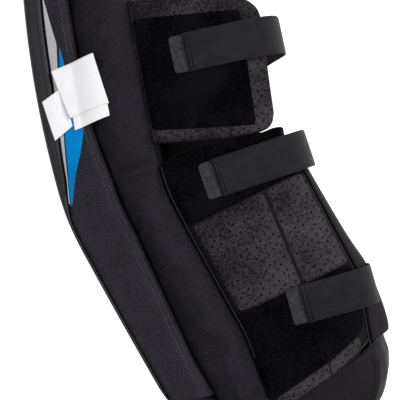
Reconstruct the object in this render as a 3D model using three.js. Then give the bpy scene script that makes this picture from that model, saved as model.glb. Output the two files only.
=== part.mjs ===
// A goalie leg pad, lying on its inner side.
// Z runs across the leg, from the inner side at 0 to the outer side.
// Y runs up the leg towards the thigh, and X runs back, from the front face towards the calf.
import * as THREE from 'three';

// Driving sizes along the front of the leg, in millimetres, from the ankle up
const shinLength = 155;
const kneeLength = 72;
const thighLength = 190;
const riseLength = 110;

// How far the front leans from upright, in degrees, at the ends of those stretches
const leanAnkle = 30;
const leanShin = 28.5;
const leanKnee = 15;
const leanThigh = 5;
const leanTop = 2;

// Widths, across the leg
const padWidth = 242;
const rollBulge = 8;
const rollWidth = 45;
const bootWidth = 208;
const topCorner = 45;

// Depths, from the front face back
const faceDepth = 19;
const coreDepth = 56;
const rollDepth = 50;
const cushionDepth = 13;

// Wings, behind the rolls: their sizes, and how far their ends lie above or below knee and ankle
const wingDepth = 134;
const wingThickness = 22;
const wingStep = 2;
const kneeBlockThickness = 30;
const calfStep = 3;
const kneeWingLength = 154;
const kneeWingAbove = 16;
const calfWingAbove = 59;
const calfWingBelow = 90;
const wingCorner = 26;
const wingEdge = 3.5;
const innerGapLower = 22;

// Boot, below the ankle
const bootLength = 150;
const bootFaceDepth = 6;
const bootLean = -5;
const notchBelow = 30;
const notchDepth = 9;
const bootPadding = 16;
const toeCorner = 50;
const toeThinning = 6;

// Ankle wrap and gusset
const wrapThickness = 7;
const wrapStart = 84;
const wrapEnd = 150;
const wrapTuck = 18;
const gussetDrop = 34;
const gussetReach = 15;
const gussetLip = 5;
const gussetTuck = 12;

// Straps and their hook tabs
const strapWidth = 39;
const strapThickness = 2;
const strapSewn = 40;
const strapTuck = 10;
const tabLength = 34;
const tabThickness = 1.6;
const tabShows = 14;

// Patches, panels, stripes and label
const patchThickness = 1.5;
const patchBorder = 14;
const panelThickness = 2;
const stripWidth = 17;
const stripeThickness = 0.8;
const labelThickness = 0.9;
const labelWidth = 50;

// Clearances between pieces that touch on the real pad
const gap = 0.3;
const seamGap = 0.6;

const degrees = Math.PI / 180;
const legLength = shinLength + kneeLength + thighLength + riseLength;
const kneeBase = shinLength + kneeLength;
const outer = padWidth;
const crown = padWidth + rollBulge;
const runs = [
  { length: shinLength, from: leanAnkle, to: leanShin },
  { length: kneeLength, from: leanShin, to: leanKnee },
  { length: thighLength, from: leanKnee, to: leanThigh },
  { length: riseLength, from: leanThigh, to: leanTop },
];

// A point on the front profile, s along it from the ankle, with the lean there
function profile(s) {
  let x = 0;
  let y = 0;
  let left = s;
  let lean = leanAnkle * degrees;
  for (const run of runs) {
    if (left <= 0) break;
    const start = run.from * degrees;
    const turn = (run.to - run.from) * degrees / run.length;
    const along = Math.min(left, run.length);
    lean = start + turn * along;
    x += (Math.cos(lean) - Math.cos(start)) / turn;
    y += (Math.sin(lean) - Math.sin(start)) / turn;
    left -= along;
  }
  return { x: x - Math.sin(lean) * left, y: y + Math.cos(lean) * left, lean };
}

// A point of the leg: s up the profile, d back from it, z across
function onLeg([s, d, z]) {
  const p = profile(s);
  return new THREE.Vector3(p.x + d * Math.cos(p.lean), p.y + d * Math.sin(p.lean), z);
}

// A point of the boot: s is below zero and runs down from the notch
function onBoot([s, d, z]) {
  const notch = onLeg([-notchBelow, notchDepth, 0]);
  const lean = bootLean * degrees;
  const x = notch.x - s * Math.sin(lean) + d * Math.cos(lean);
  const y = notch.y + s * Math.cos(lean) + d * Math.sin(lean);
  return new THREE.Vector3(x, y, z);
}

// The value of a table's column at a place, straight between its rows
function read(table, key, place, column) {
  const last = table[table.length - 1];
  if (place <= table[0][key]) return table[0][column];
  if (place >= last[key]) return last[column];
  const i = table.findIndex((row) => row[key] >= place);
  const a = table[i - 1];
  const b = table[i];
  return a[column] + (b[column] - a[column]) * (place - a[key]) / (b[key] - a[key]);
}

// How far a round corner of a radius cuts in, a distance short of the edge
function cornerCut(radius, toEdge) {
  if (toEdge >= radius) return 0;
  return radius - Math.sqrt(Math.max(0, radius ** 2 - (radius - toEdge) ** 2));
}

const finish = (color, roughness) => new THREE.MeshStandardMaterial({ color, roughness, metalness: 0 });
const nylon = finish(0x2a2930, 0.7);
const gussetNylon = finish(0x312c32, 0.6);
const loopPile = finish(0x0b0a0e, 1);
const mesh = finish(0x38333a, 0.85);
const elastic = finish(0x29282e, 0.8);
const hook = finish(0x38373c, 0.9);
const grey = finish(0xb5b7b7, 0.5);
const blue = finish(0x0784c9, 0.5);
const white = finish(0xefeff0, 0.7);

// A ring's cap, turned the way that the ring runs. A ring of two facing rows is closed straight
// across, and any other ring is flat and closed as a shape.
function capOf(ring, flat) {
  const count = ring.length;
  if (!flat) {
    const triangles = [];
    for (let i = 0; i < count / 2 - 1; i += 1) {
      triangles.push([i, i + 1, count - 2 - i], [i, count - 2 - i, count - 1 - i]);
    }
    return triangles;
  }
  const shape = ring.map(flat);
  const triangles = THREE.ShapeUtils.triangulateShape(shape, []);
  return THREE.ShapeUtils.area(shape) > 0 ? triangles : triangles.map(([a, b, c]) => [a, c, b]);
}

// A closed mesh through rings of points, capped at both ends, its faces out
function loft(name, material, rings, place, flat) {
  const count = rings[0].length;
  const points = rings.flat().map(place);
  const index = [];
  for (let r = 0; r < rings.length - 1; r += 1) {
    for (let i = 0; i < count; i += 1) {
      const a = r * count + i;
      const b = r * count + (i + 1) % count;
      index.push(a, b, b + count, a, b + count, a + count);
    }
  }
  const last = (rings.length - 1) * count;
  for (const [a, b, c] of capOf(rings[0], flat)) index.push(a, c, b);
  for (const [a, b, c] of capOf(rings[rings.length - 1], flat)) index.push(last + a, last + b, last + c);
  let volume = 0;
  for (let i = 0; i < index.length; i += 3) {
    const [a, b, c] = [points[index[i]], points[index[i + 1]], points[index[i + 2]]];
    volume += a.dot(b.clone().cross(c));
  }
  if (volume < 0) index.reverse();
  const geometry = new THREE.BufferGeometry();
  const places = points.flatMap((p) => p.toArray());
  geometry.setAttribute('position', new THREE.Float32BufferAttribute(places, 3));
  geometry.setIndex(index);
  geometry.computeVertexNormals();
  const piece = new THREE.Mesh(geometry, material.clone());
  piece.name = name;
  return piece;
}

const acrossAndDeep = ([, d, z]) => new THREE.Vector2(d, z);

// Even places from low to high, with a narrow step at each end where an edge is given
function steps(low, high, count, edge = 0) {
  const places = [low];
  for (let i = 0; i <= count; i += 1) {
    places.push(low + edge + (high - low - 2 * edge) * i / count);
  }
  places.push(high);
  return edge > 0 ? places : places.slice(1, -1);
}

// Depths along the leg, as shares of the leg's length, of the face, the core and the rolls
const depths = [
  { up: -0.17, face: 0.15, core: 0.79, roll: 0.84 },
  { up: 0, face: 0.15, core: 0.79, roll: 1.11 },
  { up: 0.14, face: 0.15, core: 0.9, roll: 1.0 },
  { up: 0.28, face: 0.15, core: 1.0, roll: 0.9 },
  { up: 0.36, face: 0.16, core: 1.0, roll: 0.93 },
  { up: 0.395, face: 0.42, core: 1.0, roll: 0.95 },
  { up: 0.43, face: 0.6, core: 0.98, roll: 0.98 },
  { up: 0.51, face: 0.8, core: 0.89, roll: 1.11 },
  { up: 0.61, face: 1.0, core: 0.87, roll: 1.15 },
  { up: 0.75, face: 1.0, core: 0.82, roll: 1.16 },
  { up: 0.9, face: 1.0, core: 0.74, roll: 1.08 },
  { up: 1.0, face: 0.8, core: 0.6, roll: 0.8 },
];
const faceBack = (s) => faceDepth * read(depths, 'up', s / legLength, 'face');
const coreBack = (s) => coreDepth * read(depths, 'up', s / legLength, 'core');
const rollBack = (s) => coreBack(s) + rollDepth * read(depths, 'up', s / legLength, 'roll');

// Places along the leg where the long pieces have a section
const sectionCount = 24;
const legSections = steps(0, legLength, sectionCount);
const topSections = [0.3, 0.6, 0.85, 1].map((share) => legLength - topCorner * (1 - share));
const longSections = [
  ...legSections.filter((s) => s < legLength - topCorner * 0.8),
  ...topSections,
];

// How far the pad's rounded top end comes in from both sides
const topCut = (s) => cornerCut(topCorner, Math.max(legLength - s, topCorner * 0.06));

// The ankle line runs halfway between the leg's square end and the boot's
const ankleSlope = Math.tan((leanAnkle - bootLean) / 2 * degrees);
const ankleLine = (d) => -notchBelow - (d - notchDepth) * ankleSlope;

function frontFace() {
  const bevel = faceDepth * 0.3;
  const rings = longSections.map((s) => {
    const cut = topCut(s);
    const back = faceBack(s);
    const round = Math.min(bevel, back * 0.8);
    return [
      [s, 0, cut + round], [s, round, cut], [s, back, cut],
      [s, back, outer - cut], [s, round, outer - cut], [s, 0, outer - cut - round],
    ];
  });
  return loft('front_face', nylon, rings, onLeg, acrossAndDeep);
}

function core() {
  const below = [1, 0.5].map((share) => (d) => ankleLine(d) * share + gap);
  const sections = [...below, ...longSections.map((s) => () => s)];
  const rings = sections.map((along, i) => {
    const s = along(0);
    const cut = topCut(s);
    const notch = i === 0 ? notchDepth : 0;
    const front = Math.max(faceBack(s) + gap, notch);
    const back = coreBack(s);
    const outline = [
      [front, cut], [back, cut], [back, outer - cut], [front, outer - cut],
    ];
    return outline.map(([d, z]) => [along(d), d, z]);
  });
  return loft('core', nylon, rings, onLeg, acrossAndDeep);
}

// A roll's section: shares of its depth back from the core, and of its width in from the crown
const rollSection = [
  { back: 0, inward: 0.95 },
  { back: 0, inward: 0.2 },
  { back: 0.14, inward: 0.08 },
  { back: 0.36, inward: 0 },
  { back: 0.62, inward: 0.02 },
  { back: 0.86, inward: 0.13 },
  { back: 1, inward: 0.3 },
  { back: 1, inward: 0.84 },
  { back: 0.74, inward: 0.98 },
  { back: 0.35, inward: 1.06 },
];

// Where the roll is creased or ends: its place as a share of the leg, and how full it is there
const rollFullness = [
  { up: -0.13, full: 0.72 },
  { up: -0.09, full: 0.93 },
  { up: 0, full: 1 },
  { up: 0.36, full: 1 },
  { up: 0.405, full: 0.9 },
  { up: 0.45, full: 1 },
  { up: 0.9, full: 1 },
  { up: 0.97, full: 0.7 },
];

function roll(name, inner) {
  const low = rollFullness[0].up * legLength;
  const sections = [
    ...steps(low, 0, 3).slice(0, -1),
    ...longSections.filter((s) => s < legLength - topCorner * 0.65),
  ];
  const rings = sections.map((s) => {
    const full = read(rollFullness, 'up', s / legLength, 'full');
    const slope = s < 0 ? ankleSlope * s / low : 0;
    return rollSection.map(({ back, inward }) => {
      const along = s - rollDepth * back * slope;
      const front = coreBack(along) + gap;
      const d = front + (rollBack(along) - front) * back;
      const bulge = crown - rollWidth * inward - (1 - full) * rollWidth * 0.8 * (1 - inward);
      const z = inner ? Math.max(0, crown - bulge - rollBulge) : bulge;
      return [along, d, z];
    });
  });
  return loft(name, nylon, rings, onLeg, acrossAndDeep);
}

function cushion(name, low, high) {
  const edge = cushionDepth * 0.8;
  const clear = rollWidth * 1.2;
  const between = legSections.filter((s) => s > low + edge && s < high - edge);
  const places = [low, low + edge, ...between, high - edge, high];
  const rings = places.map((s, i) => {
    const front = coreBack(s) + seamGap;
    const end = i === 0 || i === places.length - 1;
    const back = front + cushionDepth * (end ? 0.35 : 1);
    return [
      [s, front, clear], [s, front + cushionDepth * 0.3, clear - gap], [s, back, clear + edge],
      [s, back, outer - clear - edge], [s, front + cushionDepth * 0.3, outer - clear + gap],
      [s, front, outer - clear],
    ];
  });
  return loft(name, nylon, rings, onLeg, acrossAndDeep);
}

function boot() {
  const middle = outer / 2;
  const half = (s) => bootWidth / 2 - cornerCut(toeCorner, Math.max(bootLength + s, toeCorner * 0.1));
  const places = [0, 0.25, 0.5, 0.7, 0.8, 0.9, 0.96, 1].map((share) => -bootLength * share);
  const ankleDepth = coreBack(0) - notchDepth - gap;
  const full = (s) => Math.sin(Math.PI * (-s / bootLength) ** 0.6);
  const coreRings = places.map((s) => {
    const front = bootFaceDepth + gap;
    const back = ankleDepth + bootPadding * full(s) + toeThinning * s / bootLength;
    const top = (d) => (s === 0 ? d * ankleSlope - gap : s);
    const near = back * 0.85;
    return [
      [top(front), front, middle - half(s)], [top(near), near, middle - half(s)],
      [top(back), back, middle - half(s) + back - near],
      [top(back), back, middle + half(s) - back + near],
      [top(near), near, middle + half(s)], [top(front), front, middle + half(s)],
    ];
  });
  const faceRings = places.map((s) => {
    const top = (d) => (s === 0 ? d * ankleSlope - notchDepth : s);
    const round = bootFaceDepth * 0.5;
    return [
      [top(0), 0, middle - half(s) + round], [top(0), round, middle - half(s)],
      [top(0), bootFaceDepth, middle - half(s)], [top(0), bootFaceDepth, middle + half(s)],
      [top(0), round, middle + half(s)], [top(0), 0, middle + half(s) - round],
    ];
  });
  return [
    loft('boot_core', nylon, coreRings, onBoot, acrossAndDeep),
    loft('boot_face', nylon, faceRings, onBoot, acrossAndDeep),
  ];
}

// A wing's section across its depth: how far its top sinks towards the leg and how thick it is,
// both as shares of the wing's thickness
const wingSection = [
  { across: 0, sink: 0.34, thick: 0.54 },
  { across: 0.03, sink: 0.13, thick: 0.82 },
  { across: 0.075, sink: 0.03, thick: 0.96 },
  { across: 0.13, sink: 0, thick: 1 },
  { across: 0.3, sink: 0, thick: 1 },
  { across: 0.6, sink: 0.02, thick: 1 },
  { across: 0.8, sink: 0.1, thick: 0.98 },
  { across: 0.9, sink: 0.22, thick: 0.9 },
  { across: 0.96, sink: 0.36, thick: 0.74 },
  { across: 1, sink: 0.56, thick: 0.42 },
];

// Places of the wings' ends, up the leg
const kneeWingLow = kneeBase + kneeWingAbove;
const kneeWingHigh = kneeWingLow + kneeWingLength;
const calfWingHigh = shinLength + calfWingAbove;
const wingFront = (s) => rollBack(s) + seamGap;

// The wings' ends across their depth and their back edges along their length, as shares of the
// wing's own length and of the wings' depth
const kneeEnds = [
  { across: 0, low: 0, high: 1.07 },
  { across: 0.84, low: -0.15, high: 1.01 },
  { across: 1, low: -0.15, high: 0.99 },
];
const kneeBack = [
  { up: -0.15, deep: 0.945 },
  { up: 1, deep: 0.995 },
];
const calfEnds = [
  { across: 0, low: 0, high: 1 },
  { across: 0.15, low: 0.006, high: 1.033 },
  { across: 0.6, low: 0.02, high: 1.028 },
  { across: 0.84, low: 0.04, high: 0.997 },
  { across: 0.93, low: 0.05, high: 1.02 },
  { across: 1, low: 0.06, high: 1.03 },
];
const calfBack = [
  { up: 0, deep: 0.8 },
  { up: 0.07, deep: 0.82 },
  { up: 0.18, deep: 0.93 },
  { up: 0.3, deep: 0.985 },
  { up: 0.6, deep: 1 },
  { up: 1, deep: 1 },
];
const calfWingLength = calfWingHigh + calfWingBelow;
const backCorner = (across) => cornerCut(wingCorner, (1 - across) * wingDepth);
const kneeUp = (s) => (s - kneeWingLow) / kneeWingLength;
const calfUp = (s) => (s + calfWingBelow) / calfWingLength;
const kneeEnd = (a, end) => kneeWingLow + kneeWingLength * read(kneeEnds, 'across', a, end);
const calfEnd = (a, end) => -calfWingBelow + calfWingLength * read(calfEnds, 'across', a, end);

const kneeWing = {
  low: (a) => kneeEnd(a, 'low') + backCorner(a),
  high: (a) => kneeEnd(a, 'high') - backCorner(a),
  back: (s) => wingFront(s) + wingDepth * read(kneeBack, 'up', kneeUp(s), 'deep'),
  top: outer - wingStep,
  waist: kneeWingLow + kneeWingLength / 2,
};
const calfWing = {
  low: (a) => calfEnd(a, 'low'),
  high: (a) => calfEnd(a, 'high') - backCorner(a),
  back: (s) => wingFront(s) + wingDepth * read(calfBack, 'up', calfUp(s), 'deep'),
  top: outer - wingStep - calfStep,
  waist: 0,
};

// The lowest that a wing's underside reaches
const sunk = Math.max(...wingSection.map(({ sink, thick }) => sink + thick));
const wingUnder = (wing) => wing.top - wingThickness * sunk;

// A place on a wing: a share across its depth at s
const deepAt = (wing, s, across) => wingFront(s) + (wing.back(s) - wingFront(s)) * across;

// A wing, its outline in s and d and its section across; the inner ones lie flat
function wingPiece(name, material, wing, { thickness, inner = false, below = 0, short = 0 }) {
  const rings = wingSection.map((row) => {
    const low = wing.low(row.across) - below;
    const high = wing.high(row.across) - short;
    const places = [
      low, ...steps(low + wingEdge, wing.waist, 3),
      ...steps(wing.waist, high - wingEdge, 6).slice(1), high,
    ];
    const sink = thickness * row.sink;
    const thick = thickness * row.thick;
    const soft = (i) => (i === 0 || i === places.length - 1 ? thick * 0.22 : 0);
    const outside = inner ? (i) => soft(i) * 0.2 : (i) => wing.top - sink - soft(i);
    const inside = inner ? (i) => thick - soft(i) : (i) => wing.top - sink - thick + soft(i);
    const side = (level) => places.map((s, i) => [s, deepAt(wing, s, row.across), level(i)]);
    return [...side(outside), ...side(inside).reverse()];
  });
  return loft(name, material, rings, onLeg);
}

// A thin piece that lies on an outer wing, between two lines across it, from one share of the
// wing's depth to another. An edge that isn't straight up the wing drifts back by a share.
function onWing(name, material, wing, { from, to, low, high, thickness, count, drift = () => 0 }) {
  const all = wingSection.map((row) => row.across);
  const between = all.filter((a) => a > from + 0.01 && a < to - 0.01);
  const rings = [from, ...between, to].map((across) => {
    const side = (rise) => steps(low(across), high(across), count).map((s, i) => {
      const share = across + drift(across) * (i / count - 0.5);
      const sink = wingThickness * read(wingSection, 'across', share, 'sink');
      return [s, deepAt(wing, s, share), wing.top - sink + gap + rise];
    });
    return [...side(thickness), ...side(0).reverse()];
  });
  return loft(name, material, rings, onLeg);
}

// Lines across the calf wing where patch and panel meet, as shares of its length
const upperLine = (a) => -calfWingBelow + calfWingLength * (0.704 - 0.02 * a);
const lowerLine = (a) => -calfWingBelow + calfWingLength * (0.366 - 0.042 * a);
const stripLine = (a) => calfWing.low(a) + stripWidth;
const frontEdge = 0.035;
const panelSplit = 0.62;
const splitDrift = 0.07;

function patches() {
  const thickness = patchThickness;
  return [
    onWing('knee_patch', loopPile, kneeWing, {
      from: frontEdge,
      to: 0.84,
      low: (a) => kneeWing.low(Math.min(a, 0.8)) + patchBorder,
      high: (a) => kneeWingHigh - patchBorder * (1 + 0.2 * a),
      thickness,
      count: 6,
    }),
    onWing('calf_patch_upper', loopPile, calfWing, {
      from: frontEdge,
      to: 0.96,
      low: upperLine,
      high: (a) => calfWing.high(a) - wingEdge * 0.4,
      thickness,
      count: 6,
    }),
    onWing('calf_patch_lower', loopPile, calfWing, {
      from: frontEdge, to: 0.93, low: stripLine, high: lowerLine, thickness, count: 8,
    }),
  ];
}

function panels() {
  const high = (a) => upperLine(a) - seamGap;
  const low = (a) => lowerLine(a) + seamGap;
  const groove = seamGap / wingDepth * 2;
  const thickness = panelThickness;
  const soon = 0.8;
  return [
    onWing('calf_panel_front', mesh, calfWing, {
      from: frontEdge,
      to: panelSplit - groove,
      drift: (a) => splitDrift * a / panelSplit,
      low,
      high,
      thickness,
      count: 4,
    }),
    onWing('calf_panel_back', mesh, calfWing, {
      from: panelSplit + groove,
      to: 0.98,
      drift: (a) => splitDrift * Math.max(0, (soon - a) / (soon - panelSplit)),
      low,
      high,
      thickness,
      count: 4,
    }),
    onWing('calf_panel_lower', mesh, calfWing, {
      from: frontEdge * 2,
      to: 0.9,
      low: (a) => calfWing.low(a) + wingEdge,
      high: (a) => stripLine(a) - seamGap,
      thickness,
      count: 1,
    }),
  ];
}

// The gusset follows the calf wing's back edge and turns down towards the leg. How far it stands
// behind the wing changes up its length.
const gussetOut = [
  { up: 0, out: 0.8 },
  { up: 0.1, out: 1 },
  { up: 0.3, out: 1 },
  { up: 0.5, out: 0.7 },
  { up: 0.75, out: 0.6 },
  { up: 1, out: 0.52 },
];
function gusset() {
  const low = -calfWingBelow + calfWingLength * 0.05;
  const high = upperLine(1) + stripWidth;
  const under = wingUnder(calfWing) - seamGap;
  const rings = steps(low, high, 8, gussetLip).map((s, i, all) => {
    const edge = calfWing.back(s) + seamGap * 2;
    const pinch = i === 0 || i === all.length - 1 ? gussetLip * 0.4 : 0;
    const out = gussetReach * read(gussetOut, 'up', (s - low) / (high - low), 'out');
    const far = Math.max(wingFront(s) + wingDepth + out - pinch, edge + gap * 6);
    const mid = edge + (far - edge) * 0.6;
    const tuck = edge - gussetTuck;
    const level = (share) => calfWing.top - gussetDrop * share;
    return [
      [s, edge, level(0.42)], [s, mid, level(0.5)], [s, far, level(0.85)],
      [s, far, level(1.25)], [s, far - gussetLip, level(1.5)], [s, tuck + gussetLip, level(1.3)],
      [s, tuck, under], [s, edge, under],
    ];
  });
  return loft('calf_gusset', gussetNylon, rings, onLeg, acrossAndDeep);
}

// A flat band of even thickness along a path of d and z
function bandOutline(path, thickness) {
  const side = (sign) => path.map(([d, z], i) => {
    const before = path[Math.max(i - 1, 0)];
    const after = path[Math.min(i + 1, path.length - 1)];
    const length = Math.hypot(after[0] - before[0], after[1] - before[1]);
    const nd = -(after[1] - before[1]) / length;
    const nz = (after[0] - before[0]) / length;
    return [d + nd * sign * thickness / 2, z + nz * sign * thickness / 2];
  });
  return [...side(1), ...side(-1).reverse()];
}

// Points round a quarter turn, from one direction to another, about a centre
function turn(centre, radius, from, to, count) {
  const points = [];
  for (let i = 0; i <= count; i += 1) {
    const angle = (from + (to - from) * i / count) * degrees;
    points.push([centre[0] + radius * Math.cos(angle), centre[1] + radius * Math.sin(angle)]);
  }
  return points;
}

// The straps: how far up the wing each lies and how far back its band starts, as shares of the
// wing, how it tilts from square, in degrees, and how far its loop stands behind the wing
const straps = [
  {
    part: 'knee', wing: kneeWing, up: 0.62, across: 0.375, tilt: 3, reach: 21,
    innerTop: kneeBlockThickness,
  },
  {
    part: 'calf', wing: calfWing, up: 0.811, across: 0.385, tilt: -9, reach: 19,
    innerTop: wingThickness,
  },
  {
    part: 'ankle', wing: calfWing, up: 0.288, across: 0.515, tilt: -10, reach: 20,
    innerTop: wingThickness,
  },
];
const strapUp = ({ wing, up }) => wing.low(0) + (wing.high(0) - wing.low(0)) * up;
const strapFrom = (row) => deepAt(row.wing, strapUp(row), row.across);

// A strap is straight: u runs along its width and v back from where its band starts
function onStrap(row) {
  const start = onLeg([strapUp(row), strapFrom(row), 0]);
  const turned = profile(strapUp(row)).lean + row.tilt * degrees;
  return ([u, v, z]) => new THREE.Vector3(
    start.x + v * Math.cos(turned) - u * Math.sin(turned),
    start.y + v * Math.sin(turned) + u * Math.cos(turned),
    z,
  );
}

// The tabs lie on whichever of the patch and the panel is the higher
const tabLevel = (wing) => wing.top + gap + Math.max(patchThickness, panelThickness) + gap;

// A strap: from its hook tab on the patch, round the wings' back edge, to the inner wing
function strap(row) {
  const top = tabLevel(row.wing) + tabThickness + gap + strapThickness / 2;
  const back = row.wing.back(strapUp(row)) - strapFrom(row) + row.reach;
  const round = row.reach + strapThickness * 2;
  const inside = row.innerTop + gap + strapThickness / 2;
  const path = [
    [0, top], [back - round - strapWidth / 4, top],
    ...turn([back - round, top - round], round, 90, 0, 5),
    [back - strapTuck * 0.5, outer * 0.55],
    ...turn([back - round - strapTuck, inside + round], round, 0, -90, 5),
    [back - round - strapTuck - strapSewn, inside],
  ];
  const outline = bandOutline(path, strapThickness);
  const rings = steps(-strapWidth / 2, strapWidth / 2, 2).map((u) => outline.map(([v, z]) => [u, v, z]));
  return loft(`strap_${row.part}`, elastic, rings, onStrap(row));
}

function hookTab(row) {
  const low = tabLevel(row.wing);
  const high = low + tabThickness;
  const narrow = strapWidth * 0.02;
  const rings = steps(-tabShows, tabLength - tabShows, 2).map((v, i) => {
    const half = strapWidth / 2 - (i === 0 ? narrow * 2 : narrow);
    return [[-half, v, low], [half, v, low], [half, v, high], [-half, v, high]];
  });
  return loft(`hook_tab_${row.part}`, hook, rings, onStrap(row));
}

// The ankle wrap: a curved shell from the inner wing, round the heel, to under the calf wing
const wrapNarrowing = [
  { down: 0, deep: 1.06 },
  { down: 0.3, deep: 1.04 },
  { down: 0.55, deep: 0.97 },
  { down: 0.8, deep: 0.84 },
  { down: 1, deep: 0.66 },
];
function ankleWrap() {
  const low = wingThickness + gap + wrapThickness / 2;
  const high = wingUnder(calfWing) - seamGap - wrapThickness / 2;
  const rings = steps(0, 1, 5).map((down) => {
    const s = -wrapStart - (wrapEnd - wrapStart) * down;
    const front = wingFront(s);
    const back = front + wingDepth * read(wrapNarrowing, 'down', down, 'deep');
    const round = (back - front) * 0.38;
    const path = [
      [front + wrapTuck, low], [back - round, low],
      ...turn([back - round, low + round], round, -60, 0, 3),
      [back + gap * 3, (low + high) / 2],
      ...turn([back - round, high - round], round, 0, 60, 3),
      [back - round, high], [front + wrapTuck, high],
    ];
    return bandOutline(path, wrapThickness).map(([d, z]) => [s, d, z]);
  });
  return loft('ankle_wrap', gussetNylon, rings, onLeg);
}

// The stripes' edges, back from the front face as shares of the core's depth
const greyStripe = [
  { up: 0.385, from: 0.13, to: 0.15 },
  { up: 0.43, from: 0.215, to: 0.235 },
  { up: 0.52, from: 0.29, to: 0.36 },
  { up: 0.61, from: 0.355, to: 0.44 },
  { up: 0.695, from: 0.355, to: 0.52 },
  { up: 0.745, from: 0.355, to: 0.44 },
  { up: 0.79, from: 0.355, to: 0.37 },
];
const blueStripe = [
  { up: 0.38, from: 0.16, to: 0.175 },
  { up: 0.4, from: 0.19, to: 0.26 },
  { up: 0.44, from: 0.27, to: 0.41 },
  { up: 0.48, from: 0.33, to: 0.6 },
  { up: 0.52, from: 0.38, to: 0.73 },
  { up: 0.6, from: 0.46, to: 0.66 },
  { up: 0.66, from: 0.53, to: 0.6 },
  { up: 0.685, from: 0.55, to: 0.57 },
];
function stripe(name, material, table) {
  const rings = table.map(({ up, from, to }) => {
    const s = legLength * up;
    const base = outer + gap;
    const [near, far] = [coreDepth * from, coreDepth * to];
    return [[s, near, base], [s, far, base], [s, far, base + stripeThickness],
      [s, near, base + stripeThickness]];
  });
  return loft(name, material, rings, onLeg, acrossAndDeep);
}

// The label's leaves: corners up the leg and back from the face, as shares of the label's width
const labelUpper = [
  { up: 0.98, deep: 0.4 }, { up: 1.2, deep: 1.3 }, { up: 0.1, deep: 1.44 }, { up: -0.04, deep: 0.6 },
];
const labelLeft = [
  { up: 0.4, deep: 0.12 }, { up: 0.62, deep: 0.56 }, { up: -0.2, deep: 0.62 }, { up: -0.42, deep: 0.22 },
];
const labelUnder = [
  { up: -0.02, deep: 0.66 }, { up: 0.12, deep: 1.41 }, { up: -0.16, deep: 1.4 }, { up: -0.3, deep: 0.65 },
];
const labelFoot = legLength * 0.55;
function labelLeaf(name, corners, lift) {
  const onRoll = (d) => Math.max(0, d - coreBack(labelFoot) * 0.9) * 0.5;
  const level = (z) => corners.map(({ up, deep }) => {
    const d = deep * labelWidth;
    return [labelFoot + up * labelWidth, d, z + Math.min(onRoll(d), rollBulge)];
  });
  const base = outer + gap + stripeThickness + gap + lift;
  const plan = ([s, d]) => new THREE.Vector2(s, d);
  return loft(name, white, [level(base), level(base + labelThickness)], onLeg, plan);
}

const group = new THREE.Group();
group.add(
  frontFace(),
  core(),
  ...boot(),
  roll('outer_roll', false),
  roll('inner_roll', true),
  cushion('knee_cushion', kneeBase + cushionDepth / 2, legLength * 0.86),
  cushion('shin_cushion', -notchBelow / 2, kneeBase),
  wingPiece('knee_wing', mesh, kneeWing, { thickness: wingThickness }),
  wingPiece('inner_knee_wing', nylon, kneeWing, {
    thickness: kneeBlockThickness, inner: true, below: innerGapLower,
  }),
  wingPiece('calf_wing', nylon, calfWing, { thickness: wingThickness }),
  wingPiece('inner_calf_wing', nylon, calfWing, {
    thickness: wingThickness,
    inner: true,
    below: wrapEnd - calfWingBelow,
    short: innerGapLower,
  }),
  gusset(),
  ankleWrap(),
  ...patches(),
  ...panels(),
  ...straps.map(strap),
  ...straps.map(hookTab),
  stripe('grey_stripe', grey, greyStripe),
  stripe('blue_stripe', blue, blueStripe),
  labelLeaf('label_left', labelLeft, 0),
  labelLeaf('label_under', labelUnder, 0),
  labelLeaf('label_upper', labelUpper, labelThickness + gap),
);

// The origin is under the middle of the whole pad, on the surface that it lies on
const box = new THREE.Box3().setFromObject(group, true);
const centre = box.getCenter(new THREE.Vector3());
group.position.set(-centre.x, -centre.y, -box.min.z);

export default group;
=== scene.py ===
# A goalie leg pad, lying on its inner side on a pale floor, seen from above its outer side.
import math

import bpy
import numpy as np
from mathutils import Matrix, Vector
from mathutils.bvhtree import BVHTree


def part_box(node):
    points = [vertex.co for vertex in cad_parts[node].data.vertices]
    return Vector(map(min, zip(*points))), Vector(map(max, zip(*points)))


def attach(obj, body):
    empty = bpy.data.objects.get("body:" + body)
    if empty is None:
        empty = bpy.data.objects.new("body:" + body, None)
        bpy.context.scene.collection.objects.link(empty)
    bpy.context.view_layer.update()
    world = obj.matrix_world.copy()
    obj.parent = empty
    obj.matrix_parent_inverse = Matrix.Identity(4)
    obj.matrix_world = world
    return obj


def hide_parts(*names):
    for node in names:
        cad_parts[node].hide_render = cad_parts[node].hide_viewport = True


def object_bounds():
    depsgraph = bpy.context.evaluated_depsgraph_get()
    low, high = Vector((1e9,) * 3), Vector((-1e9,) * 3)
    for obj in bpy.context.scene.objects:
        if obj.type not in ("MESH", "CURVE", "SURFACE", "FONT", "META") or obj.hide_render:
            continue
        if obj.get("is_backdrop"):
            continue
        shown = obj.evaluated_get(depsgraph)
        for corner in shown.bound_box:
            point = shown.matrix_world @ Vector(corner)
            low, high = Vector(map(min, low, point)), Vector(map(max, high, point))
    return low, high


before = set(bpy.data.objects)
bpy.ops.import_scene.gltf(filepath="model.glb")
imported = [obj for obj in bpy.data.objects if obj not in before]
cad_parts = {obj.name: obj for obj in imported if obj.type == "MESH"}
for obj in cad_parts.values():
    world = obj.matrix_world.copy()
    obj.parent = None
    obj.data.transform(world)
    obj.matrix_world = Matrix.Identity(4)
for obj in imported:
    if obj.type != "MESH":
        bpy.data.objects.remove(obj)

cad_low, cad_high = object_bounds()

# Side panel
# The side panel is the edge of the foam slab behind the front, covered in a plain black woven
# nylon that wraps it tightly. It runs up the leg from the ankle to the rounded top end, and two
# rows of stitches along its back edge hold the roll.

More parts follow.
